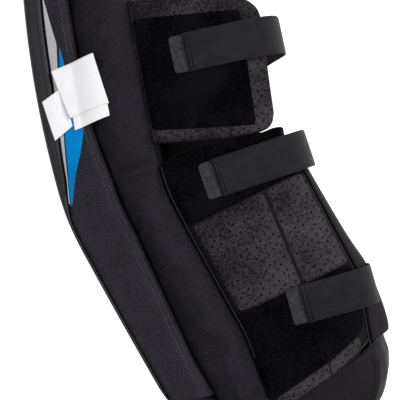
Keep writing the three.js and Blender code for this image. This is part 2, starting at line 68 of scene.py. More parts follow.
# Sizes in millimetres. The front line of the leg, from the ankle up: how long each run is, and
# how far it leans from upright at its two ends, in degrees.
FRONT_RUNS = ((155, 30, 28.5), (72, 28.5, 15), (190, 15, 5), (110, 5, 2))
LEG = sum(run[0] for run in FRONT_RUNS)
KNEE = FRONT_RUNS[0][0] + FRONT_RUNS[1][0]
PAD_WIDTH = 242
FACE_DEPTH = 19
CORE_DEPTH = 56
ROLL_DEPTH = 50
TOP_CORNER = 45
NOTCH_BELOW = 30
NOTCH_DEPTH = 9
ANKLE_SLOPE = math.tan(math.radians(17.5))

# Up the leg as a share of its length, and there the depths of front, core and roll as shares
DEPTHS = (
    (-0.17, 0.15, 0.79, 0.84), (0, 0.15, 0.79, 1.11), (0.14, 0.15, 0.9, 1.0),
    (0.28, 0.15, 1.0, 0.9), (0.36, 0.16, 1.0, 0.93), (0.395, 0.42, 1.0, 0.95),
    (0.43, 0.6, 0.98, 0.98), (0.51, 0.8, 0.89, 1.11), (0.61, 1.0, 0.87, 1.15),
    (0.75, 1.0, 0.82, 1.16), (0.9, 1.0, 0.74, 1.08), (1.0, 0.8, 0.6, 0.8),
)

face_low, face_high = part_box("front_face")
ANKLE_X = face_high.x * 1000 - FACE_DEPTH * DEPTHS[1][1] * math.cos(math.radians(FRONT_RUNS[0][1]))
ANKLE_Y = face_low.y * 1000


def front_line(s):
    """The front of the leg at s up it from the ankle: x, y and the lean there."""
    s = np.asarray(s, float)
    below = np.minimum(s, 0)
    lean = np.full(s.shape, math.radians(FRONT_RUNS[0][1]))
    x = -np.sin(lean) * below
    y = np.cos(lean) * below
    start = 0
    for length, first, last in FRONT_RUNS:
        first, last = math.radians(first), math.radians(last)
        turn = (last - first) / length
        here = first + turn * np.clip(s - start, 0, length)
        x = x + (np.cos(here) - math.cos(first)) / turn
        y = y + (np.sin(here) - math.sin(first)) / turn
        lean = np.where(s > start, here, lean)
        start += length
    beyond = np.maximum(s - start, 0)
    return x - np.sin(lean) * beyond, y + np.cos(lean) * beyond, lean


def on_leg(s, d, z):
    """The place in metres of points s up the leg, d back from its front and z across it."""
    s, d, z = np.broadcast_arrays(*(np.asarray(v, float) for v in (s, d, z)))
    x, y, lean = front_line(s)
    place = (ANKLE_X + x + d * np.cos(lean), ANKLE_Y + y + d * np.sin(lean), z)
    return np.stack(place, axis=-1) / 1000


def eased(table, place, column, reach=0.012):
    """A table's column at a place, its corners eased over a short reach."""
    rows = np.asarray(table, float)
    place = np.asarray(place, float)
    near = [
        np.interp(place + reach * k, rows[:, 0], rows[:, column]) for k in (-1, -0.5, 0, 0.5, 1)]
    return sum(near) / len(near)


def face_back(s):
    """How far back the front face reaches at s up the leg. The core and the roll go on from it."""
    return FACE_DEPTH * eased(DEPTHS, np.asarray(s) / LEG, 1)


def core_back(s):
    return CORE_DEPTH * eased(DEPTHS, np.asarray(s) / LEG, 2)


def roll_back(s):
    return core_back(s) + ROLL_DEPTH * eased(DEPTHS, np.asarray(s) / LEG, 3)


def corner_cut(radius, to_edge):
    """How far a round corner cuts in, a distance short of the edge."""
    inside = np.clip(radius - np.asarray(to_edge, float), 0, radius)
    return radius - np.sqrt(np.maximum(radius ** 2 - inside ** 2, 0))


def soft_outline(first, last, low, high, radius, count):
    """A rounded outline as two facing rows of points, each from first to last: (along, across)."""
    radius = min(radius, (high - low) * 0.49, (last - first) * 0.49)
    middle = (low + high) / 2
    corner = np.linspace(0, math.pi / 2, 5)
    along = np.concatenate([
        [first], first + radius * (1 - np.cos(corner)),
        np.linspace(first + radius, last - radius, count)[1:-1],
        last - radius * (1 - np.sin(corner)), [last],
    ])
    wall = (high - radius - middle) * 0.4
    rise = np.concatenate([
        [wall], high - radius + radius * np.sin(corner) - middle,
        np.full(count - 2, high - middle),
        high - radius + radius * np.cos(corner) - middle, [wall],
    ])
    return (
        np.concatenate([along, along[::-1]]),
        np.concatenate([middle + rise, (middle - rise)[::-1]]),
    )


def closed_mesh(name, rings, flat=None):
    """A closed mesh through rings that are each two facing rows of points. flat gives each
    point's place on its pattern piece, for finishes that follow the cut."""
    rings = np.asarray(rings, float)
    count, around, _ = rings.shape
    start = np.arange(count - 1)[:, None] * around + np.arange(around)[None, :]
    after = np.arange(count - 1)[:, None] * around + (np.arange(around)[None, :] + 1) % around
    quads = np.stack([start, after, after + around, start + around], axis=-1).reshape(-1, 4)
    i = np.arange(around // 2 - 1)
    cap = np.stack([i, around - 1 - i, around - 2 - i, i + 1], axis=-1)
    far = (count - 1) * around
    quads = np.concatenate([quads, cap, far + cap[:, ::-1]])
    points = rings.reshape(-1, 3)
    a, b, c, d = (points[quads[:, k]] for k in range(4))
    volume = (np.cross(b - a, c - a) * a).sum() + (np.cross(c - a, d - a) * a).sum()
    if volume < 0:
        quads = quads[:, ::-1]
    mesh = bpy.data.meshes.new(name)
    mesh.from_pydata(points.tolist(), [], quads.tolist())
    if flat is not None:
        layer = mesh.uv_layers.new(name="cut")
        places = np.asarray(flat, float).reshape(-1, 2)
        corners = np.empty(len(mesh.loops), int)
        mesh.loops.foreach_get("vertex_index", corners)
        layer.data.foreach_set("uv", (places[corners] / 100).ravel())
    mesh.shade_smooth()
    piece = bpy.data.objects.new(name, mesh)
    bpy.context.scene.collection.objects.link(piece)
    return piece


def smoother(piece):
    """Rounds a piece with one step of a subdivision surface."""
    rounded = piece.modifiers.new("smooth", "SUBSURF")
    rounded.levels = rounded.render_levels = 1
    return piece


def fit(piece, finish, slot, *nodes, fill=None):
    """Gives a piece its finish and lets it stand for its CAD nodes on the pad. The slot is not
    used.
    """
    piece.data.materials.append(finish)
    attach(piece, "root")
    if nodes:
        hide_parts(*nodes)
    return piece


def new_finish(name, roughness, specular, sheen=0.0, sheen_tint=(1, 1, 1)):
    """A material, functions that add a node to it and join one to its shader, and the place on
    the pad that its patterns follow."""
    made = bpy.data.materials.new(name)
    made.use_nodes = True
    tree = made.node_tree
    shader = tree.nodes["Principled BSDF"]
    shader.inputs["Roughness"].default_value = roughness
    shader.inputs["Specular IOR Level"].default_value = specular
    shader.inputs["Sheen Weight"].default_value = sheen
    shader.inputs["Sheen Roughness"].default_value = 0.5
    shader.inputs["Sheen Tint"].default_value = (*sheen_tint, 1)

    def add(kind, inputs=None, **settings):
        node = tree.nodes.new(kind)
        for key, value in settings.items():
            setattr(node, key, value)
        for key, value in (inputs or {}).items():
            if isinstance(value, bpy.types.NodeSocket):
                tree.links.new(value, node.inputs[key])
            else:
                node.inputs[key].default_value = value
        return node.outputs[0]

    def into(key, socket):
        tree.links.new(socket, shader.inputs[key])

    place = add("ShaderNodeTexCoord").node.outputs["Object"]
    return made, add, into, place


def shade(rgb):
    """A colour as the eye reads it, from 0 to 255, as the shader's own colour."""
    share = [v / 255 for v in rgb]
    return tuple(v / 12.92 if v < 0.04045 else ((v + 0.055) / 1.055) ** 2.4 for v in share) + (1,)


def two_tone(add, fac, dark, light, low=0.3, high=0.7):
    """A colour that goes from dark to light as fac goes from low to high."""
    spread = add("ShaderNodeMapRange", {"Value": fac, "From Min": low, "From Max": high})
    node = add("ShaderNodeValToRGB", {"Fac": spread})
    ramp = node.node.color_ramp
    ramp.elements[0].color, ramp.elements[1].color = shade(dark), shade(light)
    return node


def noise(add, place, scale, detail=2.0, roughness=0.5):
    """An uneven pattern, finer with a larger scale."""
    return add("ShaderNodeTexNoise", {
        "Vector": place, "Scale": scale, "Detail": detail, "Roughness": roughness})


def cells(add, place, scale):
    """A pattern of small cells, each dark in its middle."""
    return add("ShaderNodeTexVoronoi", {"Vector": place, "Scale": scale})


def waves(add, place, scale, way, distortion):
    """Even waves along one axis."""
    wave = add("ShaderNodeTexWave", {
        "Vector": place, "Scale": scale, "Distortion": distortion, "Detail": 1.0,
    }, wave_type="BANDS", bands_direction=way)
    return wave.node.outputs["Fac"]


def mixed(add, pattern, share, base):
    """A share of one pattern added to another."""
    return add("ShaderNodeMath", {0: pattern, 1: share, 2: base}, operation="MULTIPLY_ADD")


def bump(add, height, strength, depth, under=None):
    """Raises a pattern by a depth in millimetres, over the bump under it."""
    inputs = {"Height": height, "Strength": strength, "Distance": depth / 1000}
    if under is not None:
        inputs["Normal"] = under
    return add("ShaderNodeBump", inputs)


# The scale of waves that lie 1 mm apart
WAVE_SCALE = 314.2
WEAVE_TURN = math.radians(20)


def woven(name, dark, light, thread=1.3, roughness=0.7, raised=0.16, specular=0.16, puckers=0.3):
    """A woven cloth: threads both ways and across, its colour uneven, and soft puckers in it.
    thread is the pitch of its threads and raised how far they stand, in millimetres."""
    made, add, into, place = new_finish(name, roughness, specular)
    turned = add("ShaderNodeMapping", {"Vector": place, "Rotation": (0, 0, WEAVE_TURN)})
    threads = None
    for way in ("X", "Y", "Z"):
        wave = waves(add, turned, WAVE_SCALE / thread, way, 1.2)
        threads = wave if threads is None else add(
            "ShaderNodeMath", {0: threads, 1: wave}, operation="ADD")
    grain = noise(add, place, 900 / thread, 3.0)
    blotch = noise(add, place, 38.0, 4.0)
    tone = mixed(add, blotch, 0.25, mixed(add, threads, 0.09, grain))
    into("Base Color", two_tone(add, tone, dark, light, 0.5, 1.02))
    fine = bump(add, threads, 0.5, raised / 3)
    into("Normal", bump(add, noise(add, place, 90.0), 0.5, puckers * 2, fine))
    return made


NYLON = woven("nylon", dark=(11, 10, 14), light=(52, 49, 58))


def core_top(s, d):
    """The side panel's surface across the leg: a slight crown that dips to the seam behind."""
    front, back = face_back(s), core_back(s)
    share = np.clip((d - front) / (back - front), 0, 1)
    dip = 4.2 * np.exp(-((np.asarray(back) - d) / 4.5) ** 2)
    return PAD_WIDTH - 0.4 + 1.5 * np.sin(math.pi * share) ** 0.8 - dip


def core_ring(place, here, step):
    """A ring of the core. place gives how far up the leg each of its points lies, here is where
    its middle lies, and its front edge stays behind step."""
    cut = float(corner_cut(TOP_CORNER, max(LEG - here, TOP_CORNER * 0.05)))
    front = max(float(face_back(here)) + 0.4, step)
    d, z = soft_outline(front, float(core_back(here)) - 0.2, cut, PAD_WIDTH - cut, 3.0, 16)
    z = np.where((z > PAD_WIDTH / 2) & (cut < 1), z - PAD_WIDTH + core_top(here, d), z)
    return on_leg(place(d), d, z)


def core_rings():
    """The core's rings. The lowest ones slope as the notch does, the others lie square."""
    made = []
    middle = 20.0
    for share in np.linspace(1, 0.15, 8):
        def sloping(d):
            return (-NOTCH_BELOW - (d - NOTCH_DEPTH) * ANKLE_SLOPE) * share + 0.3
        made.append(core_ring(sloping, float(sloping(middle)), NOTCH_DEPTH * share ** 3))
    for s in np.concatenate([
        np.arange(0, LEG - TOP_CORNER * 0.9, 5.5),
        LEG - TOP_CORNER * (1 - np.sin(np.linspace(0.12, math.pi / 2, 12))),
    ]):
        made.append(core_ring(lambda d: np.full(np.shape(d), s), float(s), 0))
    return made


core = smoother(closed_mesh("core", core_rings()))
fit(core, NYLON, "nylon", "core", fill=0.9)

# Front face
# The front is a thick foam facing over thigh and knee that thins to a sheet on the shin, in a
# smooth black coated cloth. Its edge is bound, with a thin piping sewn in along the binding.
FACE_EDGE = 5.5
FACE_CROWN = 3.0
PIPING = 1.1
# Below the ankle the face goes on along the notch as a thin tail, which bends back at its end
TAIL = 22
TAIL_SHIFT = 2.1


def coated(name, dark, light, grain=1.6, specular=0.3):
    """A coated cloth: smooth, with a fine leather-like grain and a low even shine."""
    made, add, into, place = new_finish(name, 0.42, specular)
    into("Base Color", two_tone(add, noise(add, place, 30.0, 5.0), dark, light))
    fine = bump(add, cells(add, place, 1000 / grain), 0.35, 0.12)
    into("Normal", bump(add, noise(add, place, 55.0), 0.4, 0.8, fine))
    return made


COATED = coated("smooth_nylon", dark=(22, 22, 27), light=(33, 33, 40))


def face_rings():
    made = []
    places = np.concatenate([
        np.linspace(-TAIL, -4, 5), np.linspace(0.2, LEG - TOP_CORNER * 0.9, 92),
        LEG - TOP_CORNER * (1 - np.sin(np.linspace(0.14, math.pi / 2, 12))),
    ])
    for s in places:
        cut = float(corner_cut(TOP_CORNER, max(LEG - s, TOP_CORNER * 0.05)))
        below = max(0, -s / TAIL)
        back = float(face_back(s)) * (1 - 0.5 * below)
        edge = min(FACE_EDGE, back * 0.8)
        z, d = soft_outline(cut, PAD_WIDTH - cut, 0, back, edge, 26)
        across = np.clip((z - cut) / (PAD_WIDTH - 2 * cut), 0, 1)
        front = d < back / 2
        crown = FACE_CROWN * back / FACE_DEPTH * np.sin(math.pi * across) ** 0.5
        made.append(on_leg(s, np.where(front, d - crown * 0.5, d) + TAIL_SHIFT * below ** 2, z))
    return made


face = smoother(closed_mesh("front_face", face_rings()))
fit(face, COATED, "smooth_nylon", "front_face", fill=0.9)


def bead(name, line, radius):
    """A round bead of that radius, in millimetres, along a line of places in metres."""
    sides = 8
    line = np.asarray(line, float)
    ahead = np.gradient(line, axis=0)
    ahead /= np.linalg.norm(ahead, axis=1, keepdims=True)
    side = np.cross(ahead, (0, 0, 1.0))
    side /= np.linalg.norm(side, axis=1, keepdims=True)
    rise = np.cross(side, ahead)
    turn = (np.arange(sides) + 0.5) / sides * 2 * math.pi
    size = np.full(len(line), radius / 1000)
    size[0] = size[-1] = radius / 2500
    turn = turn[None, :, None]
    ring = side[:, None] * np.cos(turn) + rise[:, None] * np.sin(turn)
    return closed_mesh(name, line[:, None] + ring * size[:, None, None])


up = np.linspace(KNEE - 15, LEG - 34, 90)
line = on_leg(up, face_back(up) * 0.7, PAD_WIDTH - 0.1)
fit(bead("face_piping", line, PIPING), COATED, "smooth_nylon")

# Boot
# Below the notch at the ankle the pad goes on as the boot: a thinner foam slab, bent forward,
# with its own thin facing and rounded toe corners. Both are covered as the parts above them.
BOOT_LENGTH = 150
BOOT_WIDTH = 208
BOOT_FACE = 6
BOOT_LEAN = math.radians(-5)
BOOT_PADDING = 16
TOE_CORNER = 50
TOE_THINNING = 6


def on_boot(s, d, z):
    """The place in metres of points of the boot: s runs down from the notch below zero."""
    s, d, z = np.broadcast_arrays(*(np.asarray(v, float) for v in (s, d, z)))
    notch = on_leg(-NOTCH_BELOW, NOTCH_DEPTH, 0) * 1000
    x = notch[0] - s * math.sin(BOOT_LEAN) + d * math.cos(BOOT_LEAN)
    y = notch[1] + s * math.cos(BOOT_LEAN) + d * math.sin(BOOT_LEAN)
    return np.stack((x, y, z), axis=-1) / 1000


def boot_rings(front, padded):
    made = []
    ankle_depth = float(core_back(0)) - NOTCH_DEPTH - 0.3
    for share in np.concatenate([np.linspace(0, 0.7, 26), 1 - 0.3 * (1 - np.sin(
            np.linspace(0.1, math.pi / 2, 12)))]):
        s = -BOOT_LENGTH * share
        half = BOOT_WIDTH / 2 - float(corner_cut(TOE_CORNER, max(BOOT_LENGTH + s, 4)))
        swell = BOOT_PADDING * math.sin(math.pi * share ** 0.6) if share < 1 else 0
        last = ankle_depth + swell - TOE_THINNING * share if padded else BOOT_FACE
        z, d = soft_outline(
            PAD_WIDTH / 2 - half, PAD_WIDTH / 2 + half, front, last, 9 if padded else 3, 24)
        across = np.clip((z - PAD_WIDTH / 2) / half, -1, 1)
        if padded:
            d = np.where(d > (front + last) / 2, d - 4 * across ** 4, d)
        down = (d * ANKLE_SLOPE if padded else -NOTCH_DEPTH + d * ANKLE_SLOPE) * (1 - share) ** 4
        made.append(on_boot(s + down - 0.3, d, z))
    return made


boot_core = smoother(closed_mesh("boot_core", boot_rings(BOOT_FACE + 0.4, True)))
fit(boot_core, NYLON, "nylon", "boot_core", fill=0.9)
boot_face = smoother(closed_mesh("boot_face", boot_rings(0, False)))
fit(boot_face, COATED, "smooth_nylon", "boot_face", fill=0.8)

# Stripes
# Two long tapering panels of coated vinyl, one grey and one blue, are sewn flat onto the front
# of the side panel between the middle of the thigh and the knee.
STRIPE = 0.8
# Up the leg, and there the stripe's two edges back from the front, as shares of leg and core
GREY_EDGES = (
    (0.385, 0.13, 0.15), (0.43, 0.215, 0.235), (0.52, 0.29, 0.36), (0.61, 0.355, 0.44),
    (0.695, 0.355, 0.52), (0.745, 0.355, 0.44), (0.79, 0.355, 0.37),
)
BLUE_EDGES = (
    (0.38, 0.16, 0.175), (0.4, 0.19, 0.26), (0.44, 0.27, 0.41), (0.48, 0.33, 0.6),
    (0.52, 0.38, 0.73), (0.6, 0.46, 0.66), (0.66, 0.53, 0.6), (0.685, 0.55, 0.57),
)


def stripe_rings(edges):
    made = []
    for up in np.linspace(edges[0][0], edges[-1][0], 70):
        near = CORE_DEPTH * float(eased(edges, up, 1, 0.004))
        far = CORE_DEPTH * float(eased(edges, up, 2, 0.004))
        d, lift = soft_outline(near, far, 0, 1, 0.35, 8)
        z = core_top(up * LEG, d) + 0.2 + (lift - 0.5) * STRIPE
        made.append(on_leg(up * LEG, d, z))
    return made


GREY = coated("grey_vinyl", dark=(176, 178, 178), light=(188, 190, 190), grain=1.2, specular=0.1)
BLUE = coated("blue_vinyl", dark=(0, 120, 190), light=(2, 134, 206), grain=1.2, specular=0.02)
fit(closed_mesh("grey_stripe", stripe_rings(GREY_EDGES)), GREY, "grey_vinyl", "grey_stripe")
fit(closed_mesh("blue_stripe", stripe_rings(BLUE_EDGES)), BLUE, "blue_vinyl", "blue_stripe")

# Rolls
# A long stuffed roll of nylon runs along each edge of the leg channel. It is sewn in flat along
# the side panel and along the wings, and creased behind the knee, where the pad bends.
ROLL_WIDTH = 45
ROLL_CROWN = PAD_WIDTH + 8
# Up the leg as a share of its length, and how full the roll is there
ROLL_FULL = (
    (-0.13, 0.72), (-0.09, 0.93), (0, 1), (0.34, 1), (0.385, 0.93), (0.408, 0.84), (0.43, 0.94),
    (0.47, 1), (0.9, 1), (0.97, 0.7),
)
# The roll's outline: shares back from the core, and in from the crown
ROLL_OUTLINE = (
    (0.02, 0.6), (0, 0.44), (0.03, 0.34), (0.09, 0.24), (0.17, 0.15), (0.27, 0.075), (0.39, 0.022),
    (0.53, 0), (0.66, 0.015), (0.78, 0.07), (0.9, 0.15), (0.98, 0.26), (1, 0.34), (1, 0.52),
    (0.99, 0.8), (0.9, 0.93), (0.72, 0.99), (0.5, 1.03), (0.3, 1.05), (0.12, 1.04), (0.02, 0.98),
    (0.01, 0.75),
)
ROLL_TIP = 14


def around(outline, count):
    """A closed outline, its corners cut, as that many points along it."""
    points = np.asarray(outline, float)
    for _ in range(2):
        after = np.roll(points, -1, axis=0)
        points = np.stack([points * 0.75 + after * 0.25, points * 0.25 + after * 0.75], 1)
        points = points.reshape(-1, 2)
    ends = np.concatenate([points, points[:1]])
    far = np.concatenate([[0], np.cumsum(np.linalg.norm(np.diff(ends, axis=0), axis=1))])
    at = np.arange(count) / count * far[-1]
    return np.stack([np.interp(at, far, ends[:, k]) for k in range(2)], axis=-1)


def roll_rings(inner):
    """The rings of a roll. The inner one is the outer one's mirror image."""
    outline = around(ROLL_OUTLINE, 52)
    low, high = ROLL_FULL[0][0] * LEG, LEG - TOP_CORNER * 0.7
    made = []
    for s in np.linspace(low, high, 128):
        full = float(eased(ROLL_FULL, s / LEG, 1, 0.006))
        slope = ANKLE_SLOPE * s / low if s < 0 else 0
        tip = 0.45 + 0.55 * math.sqrt(min(1, (s - low) / ROLL_TIP, (high - s) / ROLL_TIP))
        back = 0.5 + (outline[:, 0] - 0.5) * tip
        inward = 0.5 + (outline[:, 1] - 0.5) * tip
        along = s - ROLL_DEPTH * back * slope
        front = core_back(along) + 0.3
        d = front + (roll_back(along) - front) * back
        bulge = ROLL_CROWN - ROLL_WIDTH * inward
        bulge = bulge - (1 - full) * ROLL_WIDTH * 0.8 * (1 - inward)
        z = np.maximum(0.3, ROLL_CROWN - bulge - 8) if inner else bulge
        made.append(on_leg(along, d, z))
    return np.array(made)


def plump(piece, held, pressure, frames, most, slack=0.0):
    """Fills a sewn cover by cloth simulation. held gives each point's hold, 1 along seams, most
    is how far a point may move, in millimetres, and slack is the cover's spare cloth."""
    scene = bpy.context.scene
    seams = piece.vertex_groups.new(name="seams")
    for index, hold in enumerate(held):
        if hold > 0:
            seams.add([index], float(hold), "REPLACE")
    cover = piece.modifiers.new("cover", "CLOTH")
    cloth = cover.settings
    cloth.quality = 6
    cloth.mass = 0.15
    cloth.tension_stiffness = cloth.compression_stiffness = 14
    cloth.shear_stiffness = 7
    cloth.bending_stiffness = 0.6
    cloth.tension_damping = cloth.compression_damping = 8
    cloth.air_damping = 3
    cloth.vertex_group_mass = "seams"
    cloth.pin_stiffness = 1.0
    cloth.use_pressure = True
    cloth.uniform_pressure_force = pressure
    cloth.shrink_min = -slack
    cloth.effector_weights.gravity = 0
    cover.point_cache.frame_start = 1
    cover.point_cache.frame_end = frames
    for number in range(1, frames + 1):
        scene.frame_set(number)
    filled = piece.evaluated_get(bpy.context.evaluated_depsgraph_get()).to_mesh()
    after = np.empty(len(filled.vertices) * 3)
    filled.vertices.foreach_get("co", after)
    before = np.empty(len(piece.data.vertices) * 3)
    piece.data.vertices.foreach_get("co", before)
    piece.evaluated_get(bpy.context.evaluated_depsgraph_get()).to_mesh_clear()
    move = (after - before).reshape(-1, 3)
    far = np.linalg.norm(move, axis=1, keepdims=True)
    move *= np.minimum(1, most / 1000 / np.maximum(far, 1e-9))
    piece.modifiers.remove(cover)
    piece.vertex_groups.remove(seams)
    placed = before.reshape(-1, 3) + move
    placed[:, 2] = np.maximum(placed[:, 2], 0.0002)
    piece.data.vertices.foreach_set("co", placed.ravel())
    piece.data.update()
    scene.frame_set(1)
    return piece


def roll_holds(rings):
    """How firmly each point of a roll is held: along its two seams and at its ends."""
    outline = around(ROLL_OUTLINE, 52)
    count = len(rings)
    holds = np.zeros((count, len(outline)))
    sewn = (outline[:, 1] > 0.2) & ((outline[:, 0] < 0.03) | (outline[:, 0] > 0.97))
    holds[:, sewn] = 1
    holds[:2] = holds[-2:] = 1
    return holds.ravel()


# Painted shade: the rolls' nylon is a darker copy of the side panel's nylon, for the shade on their
# flanks.
SHADED_ROLL_NYLON = woven("roll_nylon_painted_shade", dark=(6, 5, 8), light=(38, 35, 44), puckers=0.8)
for name, inner in (("outer_roll", False), ("inner_roll", True)):
    rings = roll_rings(inner)
    roll = closed_mesh(name, rings)
    plump(roll, roll_holds(rings), pressure=2.0, frames=18, most=5, slack=0.015)
    fit(smoother(roll), SHADED_ROLL_NYLON, "nylon", name, fill=0.8)

# Stitches along the roll
# Two rows of lockstitch in a heavy black thread close the seam between side panel and roll. The
# thread is painted mid grey, a painted highlight that shows the stitches as light lines. They
# stand a little proud of the nylon, a few millimetres in from the seam.
THREAD_WIDTH = 0.85
THREAD_RISE = 0.25


def resting_on(*carriers):
    """The height in millimetres of the carriers' upper surface at places, for what is sewn
    onto them."""
    shown = bpy.context.evaluated_depsgraph_get()
    trees = []
    for carrier in carriers:
        mesh = carrier.evaluated_get(shown).to_mesh()
        trees.append(BVHTree.FromPolygons(
            [v.co.copy() for v in mesh.vertices], [tuple(p.vertices) for p in mesh.polygons]))
        carrier.evaluated_get(shown).to_mesh_clear()

    def height(places):
        found = []
        for x, y, z in np.asarray(places).reshape(-1, 3):
            hits = [tree.ray_cast(Vector((x, y, 1)), Vector((0, 0, -1)))[0] for tree in trees]
            highs = [hit.z * 1000 for hit in hits if hit is not None]
            found.append(max(highs) if highs else z * 1000)
        return np.array(found).reshape(np.asarray(places).shape[:-1])

    return height


def stitches(name, line, pitch=3.6, length=2.6):
    """Stitches along a line of places in metres, each a short raised loop of thread."""
    line = np.asarray(line, float)
    far = np.concatenate([[0], np.cumsum(np.linalg.norm(np.diff(line, axis=0), axis=1))]) * 1000
    middles = np.arange(pitch / 2, far[-1] - pitch / 2, pitch)
    shares = np.linspace(-0.5, 0.5, 5)
    girth = np.sqrt(np.maximum(0.08, 1 - (shares * 2) ** 4))
    points, quads = [], []
    turn = (np.arange(6) + 0.5) / 6 * 2 * math.pi
    for middle in middles:
        at = middle + shares * length
        centre = np.stack([np.interp(at, far, line[:, k]) for k in range(3)], axis=-1)
        ahead = centre[-1] - centre[0]
        ahead /= np.linalg.norm(ahead)
        side = np.cross(ahead, (0, 0, 1.0))
        side /= np.linalg.norm(side)
        rise = np.cross(side, ahead)
        base = len(points)
        for k in range(5):
            here = centre[k] + rise * THREAD_RISE / 1000 * (1 - (shares[k] * 2) ** 2)
            for angle in turn:
                across = side * math.cos(angle) * THREAD_WIDTH / 2
                upward = rise * math.sin(angle) * THREAD_WIDTH / 2.6
                points.append(here + (across + upward) * girth[k] / 1000)
        for k in range(4):
            for j in range(6):
                a = base + k * 6 + j
                b = base + k * 6 + (j + 1) % 6
                quads.append((a, a + 6, b + 6, b))
        quads.append(tuple(base + j for j in range(6)))
        quads.append(tuple(base + 24 + j for j in reversed(range(6))))
    mesh = bpy.data.meshes.new(name)
    mesh.from_pydata([tuple(p) for p in points], [], quads)
    mesh.shade_smooth()
    piece = bpy.data.objects.new(name, mesh)
    bpy.context.scene.collection.objects.link(piece)
    return piece


# Painted highlight: the black thread is painted mid grey, so that the stitches show as light lines.
LIT_THREAD = woven("thread", dark=(52, 51, 56), light=(92, 90, 98), thread=0.4, roughness=0.5,
               raised=0.1, puckers=0)
on_core = resting_on(core)
for row, inset in enumerate((4.0, 8.6)):
    s = np.linspace(-14, LEG - 42, 400)
    d = core_back(s) - inset
    line = on_leg(s, d, on_core(on_leg(s, d, PAD_WIDTH)) + 0.1)
    fit(stitches(f"roll_stitches_{row + 1}", line), LIT_THREAD, "nylon")

# Channel cushions
# Two plain stuffed cushions in the same nylon make the floor of the channel that the leg lies
# in, one behind the shin and one behind the knee. They are out of the photograph's view.
CUSHION_DEPTH = 13
CUSHION_END = 9
CUSHIONS = {
    "knee_cushion": (KNEE + CUSHION_DEPTH / 2, LEG * 0.86),
    "shin_cushion": (-NOTCH_BELOW / 2, KNEE),
}


def cushion_rings(low, high):
    made = []
    places = np.concatenate([
        low + CUSHION_END * (1 - np.cos(np.linspace(0.15, math.pi / 2, 6))),
        np.linspace(low + CUSHION_END, high - CUSHION_END, 44)[1:-1],
        high - CUSHION_END * (1 - np.sin(np.linspace(0, math.pi / 2 - 0.15, 6))),
    ])
    for s in places:
        end = min(1, (s - low) / CUSHION_END, (high - s) / CUSHION_END)
        thick = CUSHION_DEPTH * (0.3 + 0.6 * math.sqrt(max(0, 1 - (1 - end) ** 2)))
        side = ROLL_WIDTH * 1.2
        front = float(core_back(s)) + 0.7
        z, d = soft_outline(side, PAD_WIDTH - side, front, front + thick, 6, 28)
        made.append(on_leg(s, d, z))
    return np.array(made)


for name, (low, high) in CUSHIONS.items():
    rings = cushion_rings(low, high)
    cushion = closed_mesh(name, rings)
    count, points = rings.shape[:2]
    holds = np.zeros((count, points))
    holds[:, points // 2:] = 1
    holds[:, :3] = holds[:, points // 2 - 3:points // 2] = 1
    holds[:2] = holds[-2:] = 1
    plump(cushion, holds.ravel(), pressure=2.5, frames=16, most=4, slack=0.01)
    fit(smoother(cushion), NYLON, "nylon", name, fill=0.7)

# Wings
# Padded wings stand behind the rolls and wrap the calf and the knee: a block of foam in a sewn
# cover. The knee wing's cover is a black spacer mesh with small dark dimples, the calf wing's is
# black nylon, painted darker still as shade in its grooves and along its front. The wings of the
# inner side are plain, in a near-black nylon that is painted shade for the dark gap behind the
# knee.
WING_DEPTH = 134
WING = 22
KNEE_BLOCK = 30
WING_CORNER = 26
CALF_CORNER = 15
KNEE_TOP = PAD_WIDTH - 2
CALF_TOP = KNEE_TOP - 3
KNEE_LOW, KNEE_LENGTH = KNEE + 16, 154
CALF_LOW = -90
CALF_LENGTH = KNEE - 13 - CALF_LOW
# The inner wings leave a gap behind the knee and reach down as far as the wrap
INNER_GAP = 22
WRAP_END = 150

# Across a wing's depth: how far it sinks towards the leg and how thick it is, both as shares
WING_SECTION = (
    (0, 0.34, 0.54), (0.03, 0.13, 0.82), (0.075, 0.03, 0.96), (0.13, 0, 1), (0.6, 0.02, 1),
    (0.8, 0.1, 0.98), (0.9, 0.22, 0.9), (0.96, 0.36, 0.74), (1, 0.56, 0.42),
)
# Across a wing's depth: where its lower and upper ends lie, as shares of its length
KNEE_ENDS = ((0, 0, 1.07), (0.84, -0.15, 1.01), (1, -0.15, 0.99))
CALF_ENDS = (
    (0, 0, 1), (0.15, 0.006, 1.033), (0.6, 0.02, 1.032), (0.84, 0.04, 1.014), (0.93, 0.05, 1.035),
    (1, 0.06, 1.04),
)
# Up a wing: how far back it reaches, as a share of the wings' depth
KNEE_BACK = ((-0.15, 0.945), (1, 0.995))
CALF_BACK = ((0, 0.88), (0.07, 0.9), (0.18, 0.955), (0.3, 0.99), (0.6, 1), (1, 1))


def wing_front(s):
    return roll_back(s) + 0.6


def knee_span(a):
    """The lowest and highest place of the knee wing, a share a across its depth."""
    cut = corner_cut(WING_CORNER, (1 - a) * WING_DEPTH)
    low = KNEE_LOW + KNEE_LENGTH * eased(KNEE_ENDS, a, 1) + cut
    return low, KNEE_LOW + KNEE_LENGTH * eased(KNEE_ENDS, a, 2) - cut


def calf_span(a):
    cut = corner_cut(CALF_CORNER, (1 - a) * WING_DEPTH)
    low = CALF_LOW + CALF_LENGTH * eased(CALF_ENDS, a, 1)
    return low, CALF_LOW + CALF_LENGTH * eased(CALF_ENDS, a, 2) - cut


def knee_deep(s, a):
    """How far back a share a across the knee wing lies at s."""
    front = wing_front(s)
    return front + WING_DEPTH * eased(KNEE_BACK, (np.asarray(s) - KNEE_LOW) / KNEE_LENGTH, 1) * a


def calf_deep(s, a):
    front = wing_front(s)
    up = (np.asarray(s) - CALF_LOW) / CALF_LENGTH
    return front + WING_DEPTH * eased(CALF_BACK, up, 1, 0.03) * a


